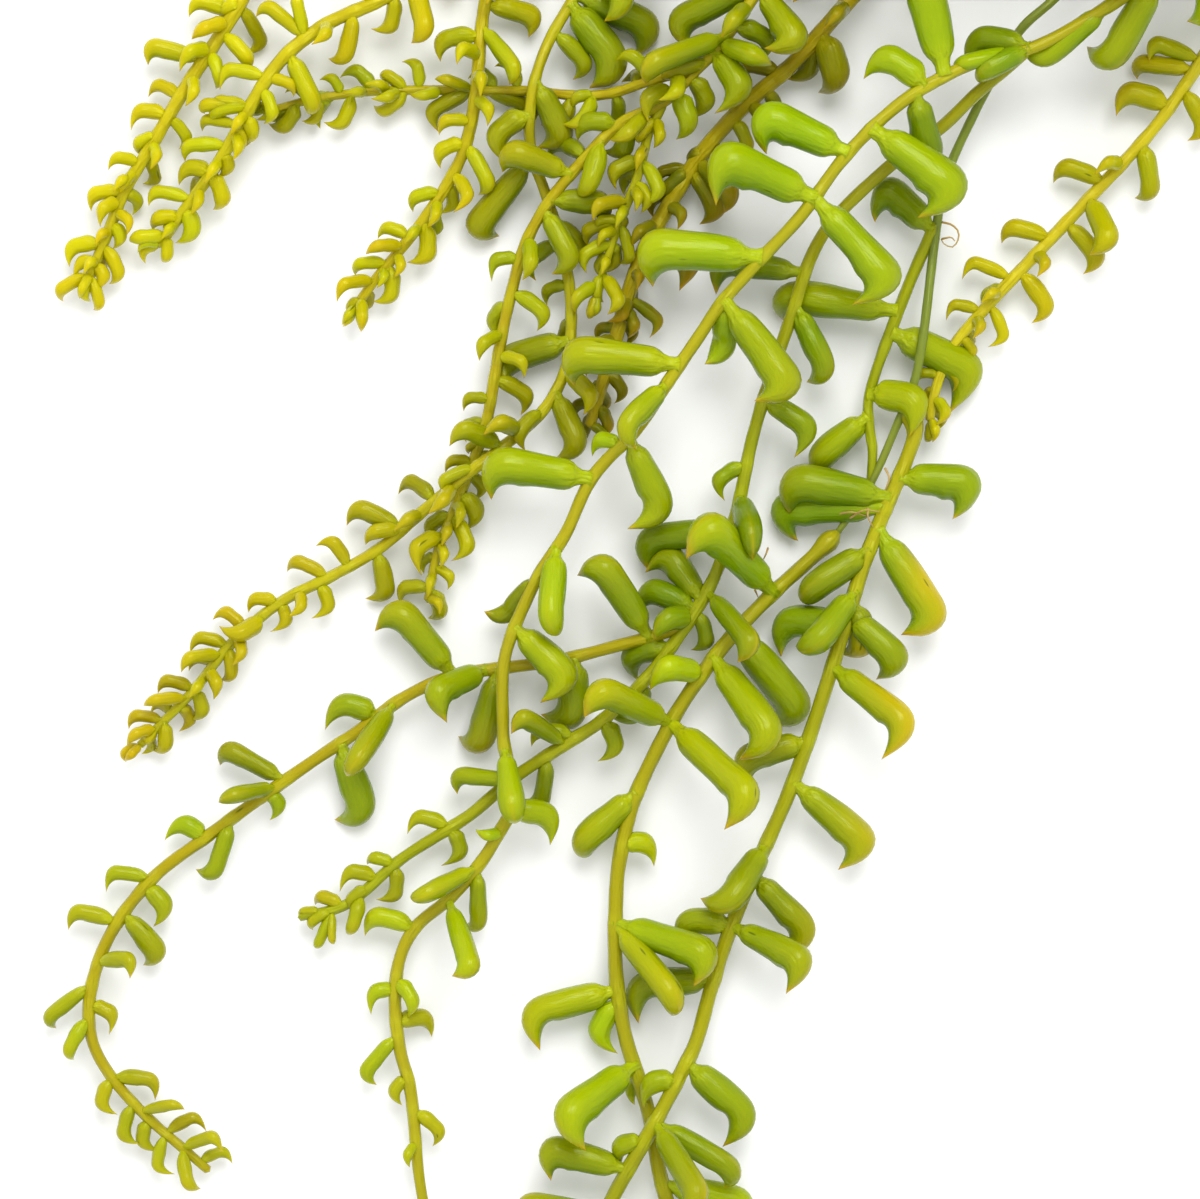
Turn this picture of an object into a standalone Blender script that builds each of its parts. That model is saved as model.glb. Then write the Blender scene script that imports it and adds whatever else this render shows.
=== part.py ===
# A potted trailing succulent with hooked leaves: a clay pot, its soil, nine long leafy stems that come
# over the rim and lie on the surface below it, and nine short ones that hang round the crown.
# Metres, +Z up, with the origin at the middle of the pot's base.

import math
import random

import bmesh
import bpy
import numpy as np

for old in list(bpy.data.objects):
    bpy.data.objects.remove(old, do_unlink=True)

MM = 0.001

# Clay pot: outer and inner outline as (radius, height) in millimetres, from the base up
POT_OUTSIDE = ((33.6, 0.0), (34.6, 1.2), (45.4, 63.6), (49.2, 64.6))
POT_LIP = ((50.0, 80.8), (48.9, 82.0), (46.7, 82.0), (45.9, 81.0))
POT_INSIDE = ((45.4, 65.0), (31.0, 6.0))
POT_SIDES = 32
DRAIN_HOLES = 3
DRAIN_RADIUS = 0.004
DRAIN_CIRCLE = 0.014
POT_FLOOR = 0.006

# Potting soil, and the plain holes that the stems stand in
SOIL_GAP = 0.3
SOIL_EDGE = 72.0
SOIL_MIDDLE = 73.5
SOIL_BOTTOM = 6.3
HOLE_RADIUS = 0.0027
HOLE_SIDES = 5
HOLE_BOTTOM = 0.0602

# Stems: radius at the base and at the growing tip, and the length over which they thin out
STEM_RADIUS = 0.00145
TIP_RADIUS = 0.0009
TIP_TAPER = 0.060
STEM_SIDES = 4
STEM_STRAY = 0.0007
STEM_LONGEST = 0.040

# Way of a stem from its hole over the rim, in millimetres: (distance out from the hole, height), then
# (distance from the pot's axis, height) down the outside to the surface
OUT_OF_SOIL = ((0.0, 62.0), (0.0, 68.0), (0.1, 74.0), (3.0, 81.0), (10.0, 88.0))
OVER_RIM = ((50.0, 91.0), (56.5, 86.0), (59.0, 74.0))
DOWN_TO_SURFACE = ((60.0, 56.0), (60.5, 38.0), (62.0, 22.0), (67.0, 11.0), (75.0, 6.5))

# The photo's pixels (1200 x 1199) on the surface: one pixel is PIXEL wide on the plane PLANE_HEIGHT up,
# as seen from VIEW_HEIGHT straight above the photo's middle. The pot stands beyond the photo's top edge.
PIXEL = 0.00018
PHOTO_MIDDLE = (600.0, 599.5)
POT_AXIS_PIXEL = (1130.0, -600.0)
VIEW_HEIGHT = 0.9
PLANE_HEIGHT = 0.008
FRAME_MARGIN = 40.0
PHOTO_SIZE = 1200.0

# Leaf: a club on a thin root, bent near its end round a crease into a short pointed beak.
# Girth as a share of the largest radius, along the club's length and round the bend in degrees.
LEAF_GIRTH = 0.00075
LEAF_GIRTH_PER_LENGTH = 0.20
CLUB_SHARES = (0.0, 0.09, 0.16, 0.2, 0.25, 0.32, 0.45, 0.65, 1.0)
CLUB_GIRTHS = (0.32, 0.27, 0.28, 0.42, 0.66, 0.82, 0.9, 0.97, 1.0)
BEAK_TURNS = (0.0, 30.0, 60.0, 80.0, 95.0)
BEAK_GIRTHS = (1.0, 0.96, 0.78, 0.6, 0.45)
CREASE = 0.2
TIP_ALONG = 0.56
TIP_ACROSS = 1.85
LARGE_LEAF = 0.0092
LARGE_FACET = 1.12
SMALL_FACET = 1.3

# Growth: gap between leaves and length of the club, from the distance to the growing tip
LEAF_GAP = (0.0019, 0.10, 0.0095)
LEAF_LENGTH = (0.0030, 0.045, 0.0140)
GAP_OUT_OF_SIGHT = 0.026
GAP_ON_SPRIG = 0.020
LEAN = 63.0
LEAN_SPREAD = 12.0

# Room between neighbours
HALF_GAP = 0.000175
SURFACE_GAP = 0.0003
NEAR = 0.035
SPHERE_EVERY = 0.002
SPHERE_SHARES = np.array([0.2, 0.4, 0.6, 0.8, 1.0])
SPHERE_TURNS = np.array([35.0, 65.0, 92.0])
SHRINK = (1.0, 0.85, 0.7, 0.55)

# Each strand: direction over the rim, radius of its hole's circle, and its shoots. A shoot's route is
# (pixel, pixel, height in millimetres), with heights between the given ones interpolated. A leaf is
# (root pixel, pixel, heel pixel, pixel, lift in degrees where it rises or dips). The first shoot comes
# from the pot; the others grow from the shoot named by "off".
STRANDS = {
    "strand_1": {
        "over_rim": 205.0,
        "hole": 24.0,
        "colour": (0.23, 0.33, 0.055),
        "shoots": [
            {
                "route": [
                    (620, -360, 6.5), (480, -270), (360, -170), (290, -85), (245, -5, 6.5), (217, 40),
                    (184, 90), (153, 143), (125, 190), (107, 235), (90, 275, 5.0),
                ],
                "leaves": [
                    (222, 5, 200, 2), (235, 30, 205, 30), (187, 50, 155, 48), (205, 50, 187, 55),
                    (240, 10, 260, 40), (166, 110, 140, 108), (157, 140, 137, 138), (150, 160, 155, 178),
                    (118, 193, 97, 190), (115, 205, 102, 210), (122, 190, 137, 200), (100, 240, 72, 245),
                    (110, 225, 120, 235), (103, 250, 122, 270), (80, 283, 60, 287), (92, 285, 100, 300),
                ],
            },
        ],
    },
    "strand_2": {
        "over_rim": 218.0,
        "hole": 33.0,
        "colour": (0.24, 0.36, 0.05),
        "shoots": [
            {
                "route": [
                    (680, -260, 6.5), (560, -160), (460, -70, 7.0), (415, -22, 8.5), (380, 0, 9.0),
                    (325, 25, 9.0), (283, 58, 9.5), (255, 98, 9.0), (235, 135), (210, 175, 7.0),
                    (183, 212), (160, 245, 5.0),
                ],
                "leaves": [
                    (415, -12, 425, 28), (352, 15, 348, 50), (300, 28, 270, 8), (260, 75, 235, 68),
                    (295, 55, 308, 90), (245, 105, 222, 108), (215, 143, 190, 142), (182, 190, 160, 188),
                    (225, 150, 228, 165), (212, 175, 225, 192), (185, 212, 197, 228), (168, 235, 170, 250),
                ],
            },
        ],
    },
    "strand_3": {
        "over_rim": 231.0,
        "hole": 24.0,
        "colour": (0.25, 0.40, 0.04),
        "shoots": [
            {
                "route": [
                    (760, -215, 6.5), (640, -150), (550, -90), (505, -45), (486, 0, 6.0), (479, 60, 8.0),
                    (476, 95, 9.5), (464, 150, 7.5), (445, 188, 6.0), (422, 222), (395, 256),
                    (375, 280), (355, 308, 5.0),
                ],
                "leaves": [
                    (492, 3, 530, 15), (476, 40, 445, 40), (485, 22, 512, 65), (463, 147, 442, 150),
                    (472, 148, 490, 180), (442, 188, 415, 195), (458, 175, 467, 195), (408, 232, 388, 228),
                    (402, 240, 378, 243), (423, 225, 430, 252), (382, 263, 360, 262), (390, 265, 392, 292),
                    (372, 278, 345, 282), (362, 295, 352, 308), (360, 298, 366, 315),
                ],
            },
        ],
    },
    "strand_4": {
        "over_rim": 243.0,
        "hole": 33.0,
        "colour": (0.21, 0.35, 0.04),
        "shoots": [
            {
                "route": [
                    (840, -180, 6.5), (730, -125), (640, -75), (600, -38), (573, 0, 6.5), (545, 50, 8.0),
                    (531, 100, 9.5), (531, 150, 7.0), (546, 195, 5.5), (563, 250, 5.5), (571, 310, 6.0),
                    (566, 368, 6.0), (542, 412, 7.0), (505, 445, 8.0), (475, 468, 9.5), (430, 505, 7.0),
                    (380, 548, 5.5), (330, 577), (281, 602), (230, 645), (194, 690), (160, 725),
                    (140, 745, 5.0),
                ],
                "leaves": [
                    (575, 5, 606, 48), (555, 30, 583, 62, -15), (580, -8, 640, 22, -15),
                    (537, 85, 560, 130, -15), (528, 118, 500, 128), (531, 160, 485, 215, -10),
                    (562, 285, 548, 290, -15), (568, 345, 512, 358), (560, 402, 575, 440), (540, 412, 520, 432),
                    (505, 443, 466, 430), (475, 472, 445, 480), (400, 522, 362, 510), (395, 530, 375, 532, 20),
                    (378, 555, 385, 590), (330, 572, 300, 560), (322, 583, 328, 605), (280, 600, 255, 595),
                    (278, 605, 288, 618), (262, 618, 245, 630), (222, 643, 200, 638), (215, 655, 190, 658),
                    (230, 648, 236, 672), (187, 680, 168, 678), (208, 668, 217, 683), (178, 697, 158, 697),
                    (198, 690, 205, 708), (155, 715, 138, 712), (183, 703, 190, 718), (152, 728, 135, 730),
                    (162, 722, 170, 742),
                ],
            },
        ],
    },
    "strand_5": {
        "over_rim": 254.0,
        "hole": 24.0,
        "colour": (0.28, 0.44, 0.035),
        "shoots": [
            {
                "route": [
                    (940, -150, 7.0), (860, -100), (790, -50), (752, 0, 14.0), (718, 48, 12.5),
                    (700, 66, 12.0), (662, 103, 11.5), (620, 124, 10.5), (580, 164), (548, 203, 10.0),
                    (525, 245), (512, 290, 8.0), (502, 335), (494, 380), (487, 420, 6.5), (474, 460, 5.0),
                    (458, 500), (448, 525), (438, 550), (428, 600, 5.0),
                ],
                "leaves": [
                    (765, -20, 685, 18, -15), (720, 30, 657, 62), (708, 58, 675, 70, 20), (738, 25, 765, 38, -15),
                    (730, 45, 752, 55), (715, 58, 738, 85, 15), (695, 78, 705, 100, -20), (672, 95, 688, 120),
                    (668, 88, 650, 98), (760, -12, 795, 38), (612, 128, 588, 122), (625, 122, 620, 150, -20),
                    (598, 145, 592, 180, 15), (572, 170, 520, 153), (556, 205, 598, 203, -15),
                    (549, 212, 568, 255), (517, 262, 497, 260), (514, 287, 542, 312), (508, 308, 490, 320),
                    (497, 378, 525, 395, -15), (492, 398, 470, 398), (482, 440, 470, 447), (462, 490, 475, 510),
                    (455, 515, 467, 545), (447, 510, 432, 525), (440, 540, 418, 548), (425, 590, 405, 588),
                    (428, 590, 440, 610),
                ],
            },
            {
                "off": 0,
                "route": [
                    (700, 66), (668, 76, 12.0), (640, 84), (617, 92, 8.0), (590, 96), (558, 94), (531, 91, 5.0),
                    (490, 91, 4.5), (430, 90), (365, 92), (310, 100), (265, 112, 4.5),
                ],
                "leaves": [
                    (468, 88, 445, 80), (470, 100, 435, 110), (405, 88, 388, 72), (402, 95, 385, 112),
                    (375, 90, 358, 68), (354, 98, 345, 125), (335, 98, 318, 105), (300, 100, 285, 125),
                ],
            },
            {
                "off": 0,
                "route": [
                    (662, 103), (650, 130, 10.0), (638, 175, 9.0), (615, 235, 8.0), (596, 295, 7.5),
                ],
                "leaves": [
                    (645, 165, 615, 165), (628, 200, 600, 205), (650, 165, 658, 190), (610, 245, 585, 255),
                    (603, 275, 618, 300), (600, 280, 578, 297), (612, 240, 615, 260),
                ],
            },
        ],
    },
    "strand_6": {
        "over_rim": 265.0,
        "hole": 33.0,
        "colour": (0.30, 0.27, 0.05),
        "shoots": [
            {
                "route": [
                    (1030, -130, 7.0), (950, -85), (890, -40), (850, 0, 9.0), (790, 66, 8.0), (745, 105, 7.0),
                    (703, 152, 5.5), (670, 203), (642, 255), (625, 305), (610, 360), (602, 385),
                    (590, 425, 5.0),
                ],
                "leaves": [
                    (822, 40, 835, 72), (815, 45, 808, 70), (690, 170, 662, 172), (697, 175, 715, 205),
                    (705, 165, 728, 190), (655, 245, 688, 258), (635, 298, 657, 320), (628, 300, 622, 315),
                    (610, 372, 622, 390), (605, 380, 593, 390), (598, 400, 578, 405), (598, 405, 608, 425),
                    (592, 415, 585, 430),
                ],
            },
        ],
    },
    "strand_7": {
        "over_rim": 277.0,
        "hole": 24.0,
        "colour": (0.19, 0.36, 0.035),
        "shoots": [
            {
                "radius": 0.0009,
                "route": [
                    (1150, -130, 8.0), (1105, -70), (1075, -25), (1053, 0, 12.5), (1022, 28, 12.0),
                    (1000, 65, 9.5), (976, 110, 8.0), (945, 180), (938, 217, 7.0), (933, 255), (922, 344, 9.0),
                    (914, 383), (897, 425, 7.0), (870, 485), (838, 532, 6.0),
                ],
                "leaves": [],
            },
            {
                "off": 0,
                "vigour": 1.7,
                "route": [
                    (838, 532), (815, 555, 6.5), (770, 596, 7.0), (720, 650, 8.0), (680, 707), (666, 732, 8.0),
                    (640, 785), (630, 812, 7.0), (618, 870), (616, 900, 6.5), (616, 975), (625, 1035),
                    (642, 1090), (650, 1118, 5.5), (660, 1175), (675, 1230, 6.0), (690, 1290), (715, 1350),
                    (745, 1400, 5.0),
                ],
                "leaves": [
                    (768, 590, 712, 530), (702, 672, 670, 668), (720, 660, 765, 728), (738, 640, 792, 700, -20),
                    (665, 724, 607, 693), (678, 728, 742, 790), (632, 797, 590, 835), (622, 850, 640, 850, -15),
                    (622, 925, 668, 990, 25), (622, 922, 700, 952), (612, 990, 542, 1010),
                    (615, 1000, 600, 1030, -15), (631, 1063, 573, 1112), (636, 1072, 631, 1092),
                    (664, 1180, 735, 1200),
                ],
            },
            {
                "off": 0,
                "route": [
                    (932, 222), (915, 270, 7.0), (895, 320), (875, 375, 6.5), (868, 405), (874, 460, 6.0),
                ],
                "leaves": [
                    (925, 230, 890, 190), (893, 305, 805, 298, -10), (890, 328, 962, 365),
                    (870, 390, 912, 400, 20), (861, 412, 838, 435, -10),
                ],
            },
            {
                "off": 0,
                "vigour": 1.7,
                "route": [
                    (908, 405), (915, 430, 8.0), (907, 458), (884, 512, 8.5), (862, 570, 9.0), (836, 655, 9.0),
                    (810, 735, 8.0), (788, 795), (757, 865, 7.0), (730, 930), (712, 985, 7.0), (695, 1045, 8.0),
                    (680, 1075), (662, 1110, 9.5), (645, 1140, 10.0), (612, 1199, 7.0), (585, 1255, 6.0),
                    (565, 1320), (562, 1385), (575, 1440, 5.0),
                ],
                "leaves": [
                    (905, 478, 965, 482), (882, 492, 803, 482), (878, 505, 785, 508, -20), (880, 533, 930, 610),
                    (872, 548, 820, 583), (852, 592, 822, 635, 25), (850, 610, 893, 655),
                    (855, 600, 862, 640, -15), (845, 625, 795, 622), (838, 670, 898, 718), (808, 738, 752, 757),
                    (802, 788, 860, 838), (766, 846, 733, 895, 25), (758, 878, 800, 925), (736, 928, 797, 958),
                    (735, 925, 692, 922), (712, 982, 648, 985, -15), (694, 1062, 738, 1108),
                    (680, 1080, 655, 1082), (662, 1125, 725, 1165), (658, 1130, 695, 1190),
                    (625, 1163, 555, 1150), (648, 1142, 622, 1146, -15), (600, 1215, 535, 1205),
                ],
            },
        ],
    },
    "strand_8": {
        "over_rim": 289.0,
        "hole": 33.0,
        "colour": (0.27, 0.50, 0.03),
        "shoots": [
            {
                "arch": True,
                "route": [
                    (1238, -285, 50.0), (1248, -215, 34.0), (1235, -140, 27.0), (1205, -75, 24.0),
                    (1165, -28, 22.0), (1119, 0, 21.0), (1037, 46, 20.0), (979, 61), (943, 77, 22.0),
                    (902, 102), (848, 153), (800, 217, 22.0), (758, 262), (720, 305, 20.0), (700, 335),
                    (668, 382, 18.0), (640, 425), (592, 478, 14.0), (565, 535), (540, 573, 12.0),
                    (522, 610), (508, 645), (503, 670, 12.0), (503, 725), (504, 745, 11.0), (510, 770),
                    (515, 800, 11.0), (499, 833), (482, 861, 8.0), (451, 897, 6.5), (415, 928, 6.0),
                    (400, 958), (395, 1000), (400, 1050), (410, 1088), (420, 1183), (432, 1240),
                    (450, 1295, 5.0),
                ],
                "leaves": [
                    (1160, -20, 1122, 48, -15), (1105, 8, 1058, 48, -15), (938, 70, 922, -22),
                    (922, 90, 892, 60), (880, 130, 950, 185), (919, 98, 928, 150, -25), (845, 147, 770, 118),
                    (812, 190, 730, 160), (826, 200, 885, 275), (758, 258, 662, 248), (733, 305, 785, 380),
                    (678, 360, 590, 352), (732, 310, 724, 342), (667, 384, 637, 415, 30), (592, 482, 505, 465),
                    (627, 441, 657, 500, -15), (617, 448, 602, 440, -15), (556, 553, 551, 610),
                    (518, 625, 562, 672), (535, 580, 508, 612), (503, 748, 512, 805, 30), (500, 782, 463, 776),
                    (505, 815, 545, 815, -15), (498, 830, 488, 835), (472, 870, 425, 893), (478, 872, 478, 920),
                    (450, 905, 470, 965), (408, 928, 378, 917), (388, 995, 376, 992), (396, 985, 412, 1000),
                    (398, 1020, 423, 1018), (393, 1040, 368, 1070), (402, 1080, 395, 1090),
                    (416, 1110, 438, 1130), (418, 1140, 408, 1155),
                ],
            },
            {
                "off": 0,
                "route": [
                    (1030, 48), (1002, 72, 17.0), (975, 95, 14.0), (943, 126, 12.0), (885, 170, 11.0),
                    (832, 222), (812, 255, 11.0), (790, 320, 10.0), (768, 385), (752, 440), (740, 498),
                    (733, 525, 8.0), (712, 582), (683, 630), (645, 680, 8.0), (600, 722), (572, 740, 7.0),
                    (545, 757), (515, 777, 5.5), (470, 815), (450, 828, 6.0), (400, 860), (345, 905),
                    (300, 917, 5.0),
                ],
                "leaves": [
                    (1030, 42, 985, 40, -20), (794, 305, 822, 362), (803, 270, 728, 262, -15), (765, 400, 803, 425),
                    (742, 465, 720, 480), (742, 497, 750, 530), (735, 528, 657, 538), (708, 600, 672, 560, -15),
                    (690, 610, 655, 592, -15), (690, 622, 668, 620), (712, 597, 748, 640),
                    (700, 612, 706, 640, -15), (668, 652, 635, 655), (642, 684, 633, 712), (603, 727, 615, 745),
                    (575, 742, 542, 730), (560, 740, 525, 718), (545, 762, 541, 800), (448, 822, 420, 817),
                    (452, 826, 463, 842),
                ],
            },
            {
                "off": 1,
                "route": [
                    (690, 620), (672, 630, 8.0), (620, 645, 7.0), (560, 660, 6.0), (503, 668, 5.5),
                    (465, 673, 5.5), (440, 680, 6.0), (400, 700), (357, 732), (319, 757), (255, 802),
                    (205, 838), (153, 878), (110, 935), (90, 995), (92, 1040), (110, 1075), (145, 1115),
                    (185, 1150), (208, 1170, 5.0),
                ],
                "leaves": [
                    (645, 635, 606, 570), (577, 660, 572, 710), (452, 672, 405, 617), (490, 672, 440, 690),
                    (497, 685, 482, 735), (365, 712, 345, 705), (390, 705, 360, 755), (338, 748, 360, 802, -10),
                    (283, 773, 233, 752), (272, 790, 235, 795), (268, 793, 278, 803, -15), (200, 835, 185, 825),
                    (235, 818, 215, 868), (150, 873, 115, 873), (152, 888, 163, 905), (110, 923, 78, 912),
                    (135, 918, 155, 950), (102, 963, 128, 960), (90, 985, 52, 1015), (88, 1018, 70, 1048),
                    (93, 1010, 110, 1013), (105, 1078, 102, 1102), (112, 1075, 150, 1080),
                    (130, 1105, 124, 1133), (150, 1110, 172, 1105), (172, 1122, 193, 1118),
                    (160, 1140, 158, 1165), (182, 1150, 188, 1182), (190, 1145, 212, 1137),
                    (205, 1160, 222, 1152),
                ],
            },
        ],
    },
    "strand_9": {
        "over_rim": 303.0,
        "hole": 24.0,
        "colour": (0.36, 0.42, 0.05),
        "shoots": [
            {
                "route": [
                    (1350, -180, 6.5), (1310, -90), (1260, -20), (1225, 20), (1200, 62, 6.0), (1175, 100),
                    (1150, 133), (1100, 187), (1040, 250), (990, 303), (950, 352), (933, 400), (930, 420, 5.0),
                ],
                "leaves": [
                    (1190, 58, 1158, 45), (1185, 66, 1148, 62, -15), (1165, 98, 1130, 90), (1190, 95, 1203, 125),
                    (1145, 150, 1153, 185), (1096, 182, 1068, 168), (1072, 222, 1095, 255),
                    (1092, 200, 1107, 235), (1050, 232, 1015, 225), (1002, 275, 975, 263), (1028, 272, 1045, 305),
                    (980, 312, 955, 305), (990, 312, 1003, 335), (965, 335, 972, 350), (935, 385, 925, 402),
                    (933, 395, 945, 412),
                ],
            },
        ],
    },
}

# Short stems round the crown: direction over the rim, radius of the hole's circle, how far it turns
# round the pot on its way out over the soil, and how far it hangs below the rim
SPRIGS = (
    (330.0, 20.0, 30.0, 44.0),
    (357.0, 14.0, 34.0, 66.0),
    (25.0, 22.0, 36.0, 30.0),
    (52.0, 13.0, 34.0, 52.0),
    (80.0, 23.0, 36.0, 24.0),
    (108.0, 14.0, 34.0, 60.0),
    (136.0, 22.0, 34.0, 36.0),
    (163.0, 20.0, 24.0, 48.0),
    (184.0, 12.0, 24.0, 28.0),
)
SPRIG_COLOUR = (0.25, 0.40, 0.04)
SPRIG_WAY = ((0.0, 0.0, 62.0), (0.0, 0.0, 68.0), (0.0, 0.1, 74.0), (0.12, 3.0, 80.0), (0.5, 14.0, 82.0))
SPRIG_RIM = ((0.85, 43.0, 87.5), (0.95, 50.5, 89.5), (1.0, 56.0, 85.0), (1.0, 58.5, 76.0))
SPRIG_END = 59.5
SPRIG_VIGOUR = 1.6


def unit(vectors):
    """The vectors, each at length one."""
    return vectors / np.linalg.norm(vectors, axis=-1, keepdims=True)


def place(pixel_x, pixel_y, height):
    """The point at this height that shows at a pixel of the photo."""
    spread = PIXEL * (VIEW_HEIGHT - height) / (VIEW_HEIGHT - PLANE_HEIGHT)
    middle_x = (PHOTO_MIDDLE[0] - POT_AXIS_PIXEL[0]) * PIXEL
    middle_y = (POT_AXIS_PIXEL[1] - PHOTO_MIDDLE[1]) * PIXEL
    across = (pixel_x - PHOTO_MIDDLE[0]) * spread
    down = (pixel_y - PHOTO_MIDDLE[1]) * spread
    return np.array([middle_x + across, middle_y - down, height])


def pixels_of(points):
    """The pixel of the photo at which each point shows."""
    spread = PIXEL * (VIEW_HEIGHT - points[:, 2]) / (VIEW_HEIGHT - PLANE_HEIGHT)
    middle_x = (PHOTO_MIDDLE[0] - POT_AXIS_PIXEL[0]) * PIXEL
    middle_y = (POT_AXIS_PIXEL[1] - PHOTO_MIDDLE[1]) * PIXEL
    pixel_x = PHOTO_MIDDLE[0] + (points[:, 0] - middle_x) / spread
    pixel_y = PHOTO_MIDDLE[1] - (points[:, 1] - middle_y) / spread
    return np.stack([pixel_x, pixel_y], axis=1)


def round_pot(radius, angle, height):
    """A point given in millimetres from the pot's axis, degrees round it and millimetres up."""
    turn = math.radians(angle)
    return np.array([radius * math.cos(turn), radius * math.sin(turn), height]) * MM


def route_points(route):
    """The route's points, with the heights that it leaves out interpolated along its length."""
    flat = np.array([point[:2] for point in route], float)
    steps = np.linalg.norm(np.diff(flat, axis=0), axis=1)
    along = np.concatenate([[0.0], np.cumsum(steps)])
    known = [index for index, point in enumerate(route) if len(point) == 3]
    heights = np.interp(along, along[known], [route[index][2] * MM for index in known])
    return [place(x, y, height) for (x, y), height in zip(flat, heights)]


def smooth_curve(points, spacing):
    """Points at this spacing on a smooth curve through the given ones."""
    points = np.array(points)
    steps = np.sqrt(np.linalg.norm(np.diff(points, axis=0), axis=1))
    slopes = np.diff(points, axis=0) / steps[:, None]
    rates = np.empty_like(points)
    rates[0] = slopes[0]
    rates[-1] = slopes[-1]
    both = (points[2:] - points[:-2]) / (steps[1:] + steps[:-1])[:, None]
    rates[1:-1] = slopes[:-1] + slopes[1:] - both
    dense = []
    for index, step in enumerate(steps):
        t = np.linspace(0.0, 1.0, 24, endpoint=False)[:, None]
        start = (1 + 2 * t) * (1 - t) ** 2 * points[index] + t * (1 - t) ** 2 * step * rates[index]
        end = t * t * (3 - 2 * t) * points[index + 1] + t * t * (t - 1) * step * rates[index + 1]
        dense.append(start + end)
    dense = np.concatenate(dense + [points[-1:]])
    along = np.concatenate([[0.0], np.cumsum(np.linalg.norm(np.diff(dense, axis=0), axis=1))])
    count = max(2, int(round(along[-1] / spacing)) + 1)
    at = np.linspace(0.0, along[-1], count)
    return np.stack([np.interp(at, along, dense[:, axis]) for axis in range(3)], axis=1)


def over_rim(strand):
    """The points that a strand takes from its hole over the pot's rim."""
    way = [(strand["hole"] + out, height) for out, height in OUT_OF_SOIL] + list(OVER_RIM)
    if not strand["shoots"][0].get("arch"):
        way += DOWN_TO_SURFACE
    return [round_pot(radius, strand["over_rim"], height) for radius, height in way]


def sprig_points(direction, hole, turn, hang):
    """The points of a short stem that crosses the soil and hangs over the rim."""
    points = []
    for share, out, height in SPRIG_WAY:
        points.append(round_pot(hole + out, direction + turn * (1 - share), height))
    for share, radius, height in SPRIG_RIM:
        points.append(round_pot(radius, direction + turn * (1 - share), height))
    lip = SPRIG_RIM[-1][2]
    for share, sway in ((0.35, 2.0), (0.7, -1.0), (1.0, 2.5)):
        points.append(round_pot(SPRIG_END + share, direction + sway, lip - hang * share))
    return points


def make_shoot(node, name, points, radius, vigour):
    """A shoot: its curve with tangents, which way is up on it, and the distance to its tip."""
    curve = smooth_curve(points, SPHERE_EVERY)
    tangents = unit(np.gradient(curve, axis=0))
    steps = np.linalg.norm(np.diff(curve, axis=0), axis=1)
    to_tip = np.concatenate([np.cumsum(steps[::-1])[::-1], [0.0]])
    outward = unit(curve * [1.0, 1.0, 0.0])
    steep = np.clip((np.abs(tangents[:, 2]) - 0.5) / 0.3, 0.0, 1.0)[:, None]
    up = np.array([0.0, 0.0, 1.0]) * (1 - steep) + outward * steep
    up = unit(up - tangents * (up * tangents).sum(axis=1, keepdims=True))
    thin = np.clip(to_tip / TIP_TAPER, 0.0, 1.0)
    radii = np.minimum(radius, TIP_RADIUS + (radius - TIP_RADIUS) * thin)
    return {
        "node": node, "name": name, "curve": curve, "tangents": tangents, "up": up,
        "to_tip": to_tip, "radii": radii, "vigour": vigour, "taken": [],
    }


def all_shoots():
    """Every shoot of the plant, in the order of the strands."""
    shoots = []
    for node, strand in STRANDS.items():
        own = []
        for index, shoot in enumerate(strand["shoots"]):
            points = route_points(shoot["route"])
            if "off" in shoot:
                parent = own[shoot["off"]]["curve"]
                points[0] = parent[np.argmin(np.linalg.norm(parent - points[0], axis=1))]
            else:
                points = over_rim(strand) + points
            radius = shoot.get("radius", STEM_RADIUS)
            own.append(make_shoot(node, f"{node}_{index}", points, radius, shoot.get("vigour", 1.0)))
            own[-1]["noted"] = shoot["leaves"]
        shoots += own
    for index, sprig in enumerate(SPRIGS):
        node = f"sprig_{index + 1}"
        shoots.append(make_shoot(node, node, sprig_points(*sprig), STEM_RADIUS, SPRIG_VIGOUR))
        shoots[-1]["noted"] = []
    return shoots


def leaf_spheres(root, along, hook, length, girth):
    """Spheres that hold a leaf: centres and radii for each candidate, with the facets' corners inside."""
    facet = np.where(length < LARGE_LEAF, SMALL_FACET, LARGE_FACET)[:, None]
    length = length[:, None, None]
    girth = girth[:, None, None]
    along = along[:, None, :]
    hook = hook[:, None, :]
    club = root + along * length * SPHERE_SHARES[None, :, None]
    turns = np.radians(SPHERE_TURNS)[None, :, None]
    beak_girths = np.interp(SPHERE_TURNS, BEAK_TURNS, BEAK_GIRTHS)
    reach = girth * (beak_girths[None, :, None] + CREASE)
    heel = root + along * length + hook * girth * (1 + CREASE)
    beak = heel + reach * (along * np.sin(turns) - hook * np.cos(turns))
    tip = root + along * (length + girth * TIP_ALONG) + hook * girth * (TIP_ACROSS - 0.1)
    club_girths = np.interp(SPHERE_SHARES, CLUB_SHARES, CLUB_GIRTHS)
    shares = np.concatenate([club_girths, beak_girths, [0.2]])
    return np.concatenate([club, beak, tip], axis=1), girth[:, :, 0] * shares * facet + HALF_GAP


def pot_gap(centres):
    """Distance of each centre to the pot's wall and the soil, seen in section."""
    out = np.hypot(centres[..., 0], centres[..., 1])
    up = centres[..., 2]
    wall_in, wall_out, wall_top = POT_INSIDE[0][0] * MM, POT_LIP[0][0] * MM, POT_LIP[2][1] * MM
    wall = np.hypot(np.maximum(np.maximum(wall_in - out, out - wall_out), 0), np.maximum(up - wall_top, 0))
    soil = np.hypot(np.maximum(out - wall_in, 0), np.maximum(up - SOIL_MIDDLE * MM, 0))
    return np.minimum(wall, soil)


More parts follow.
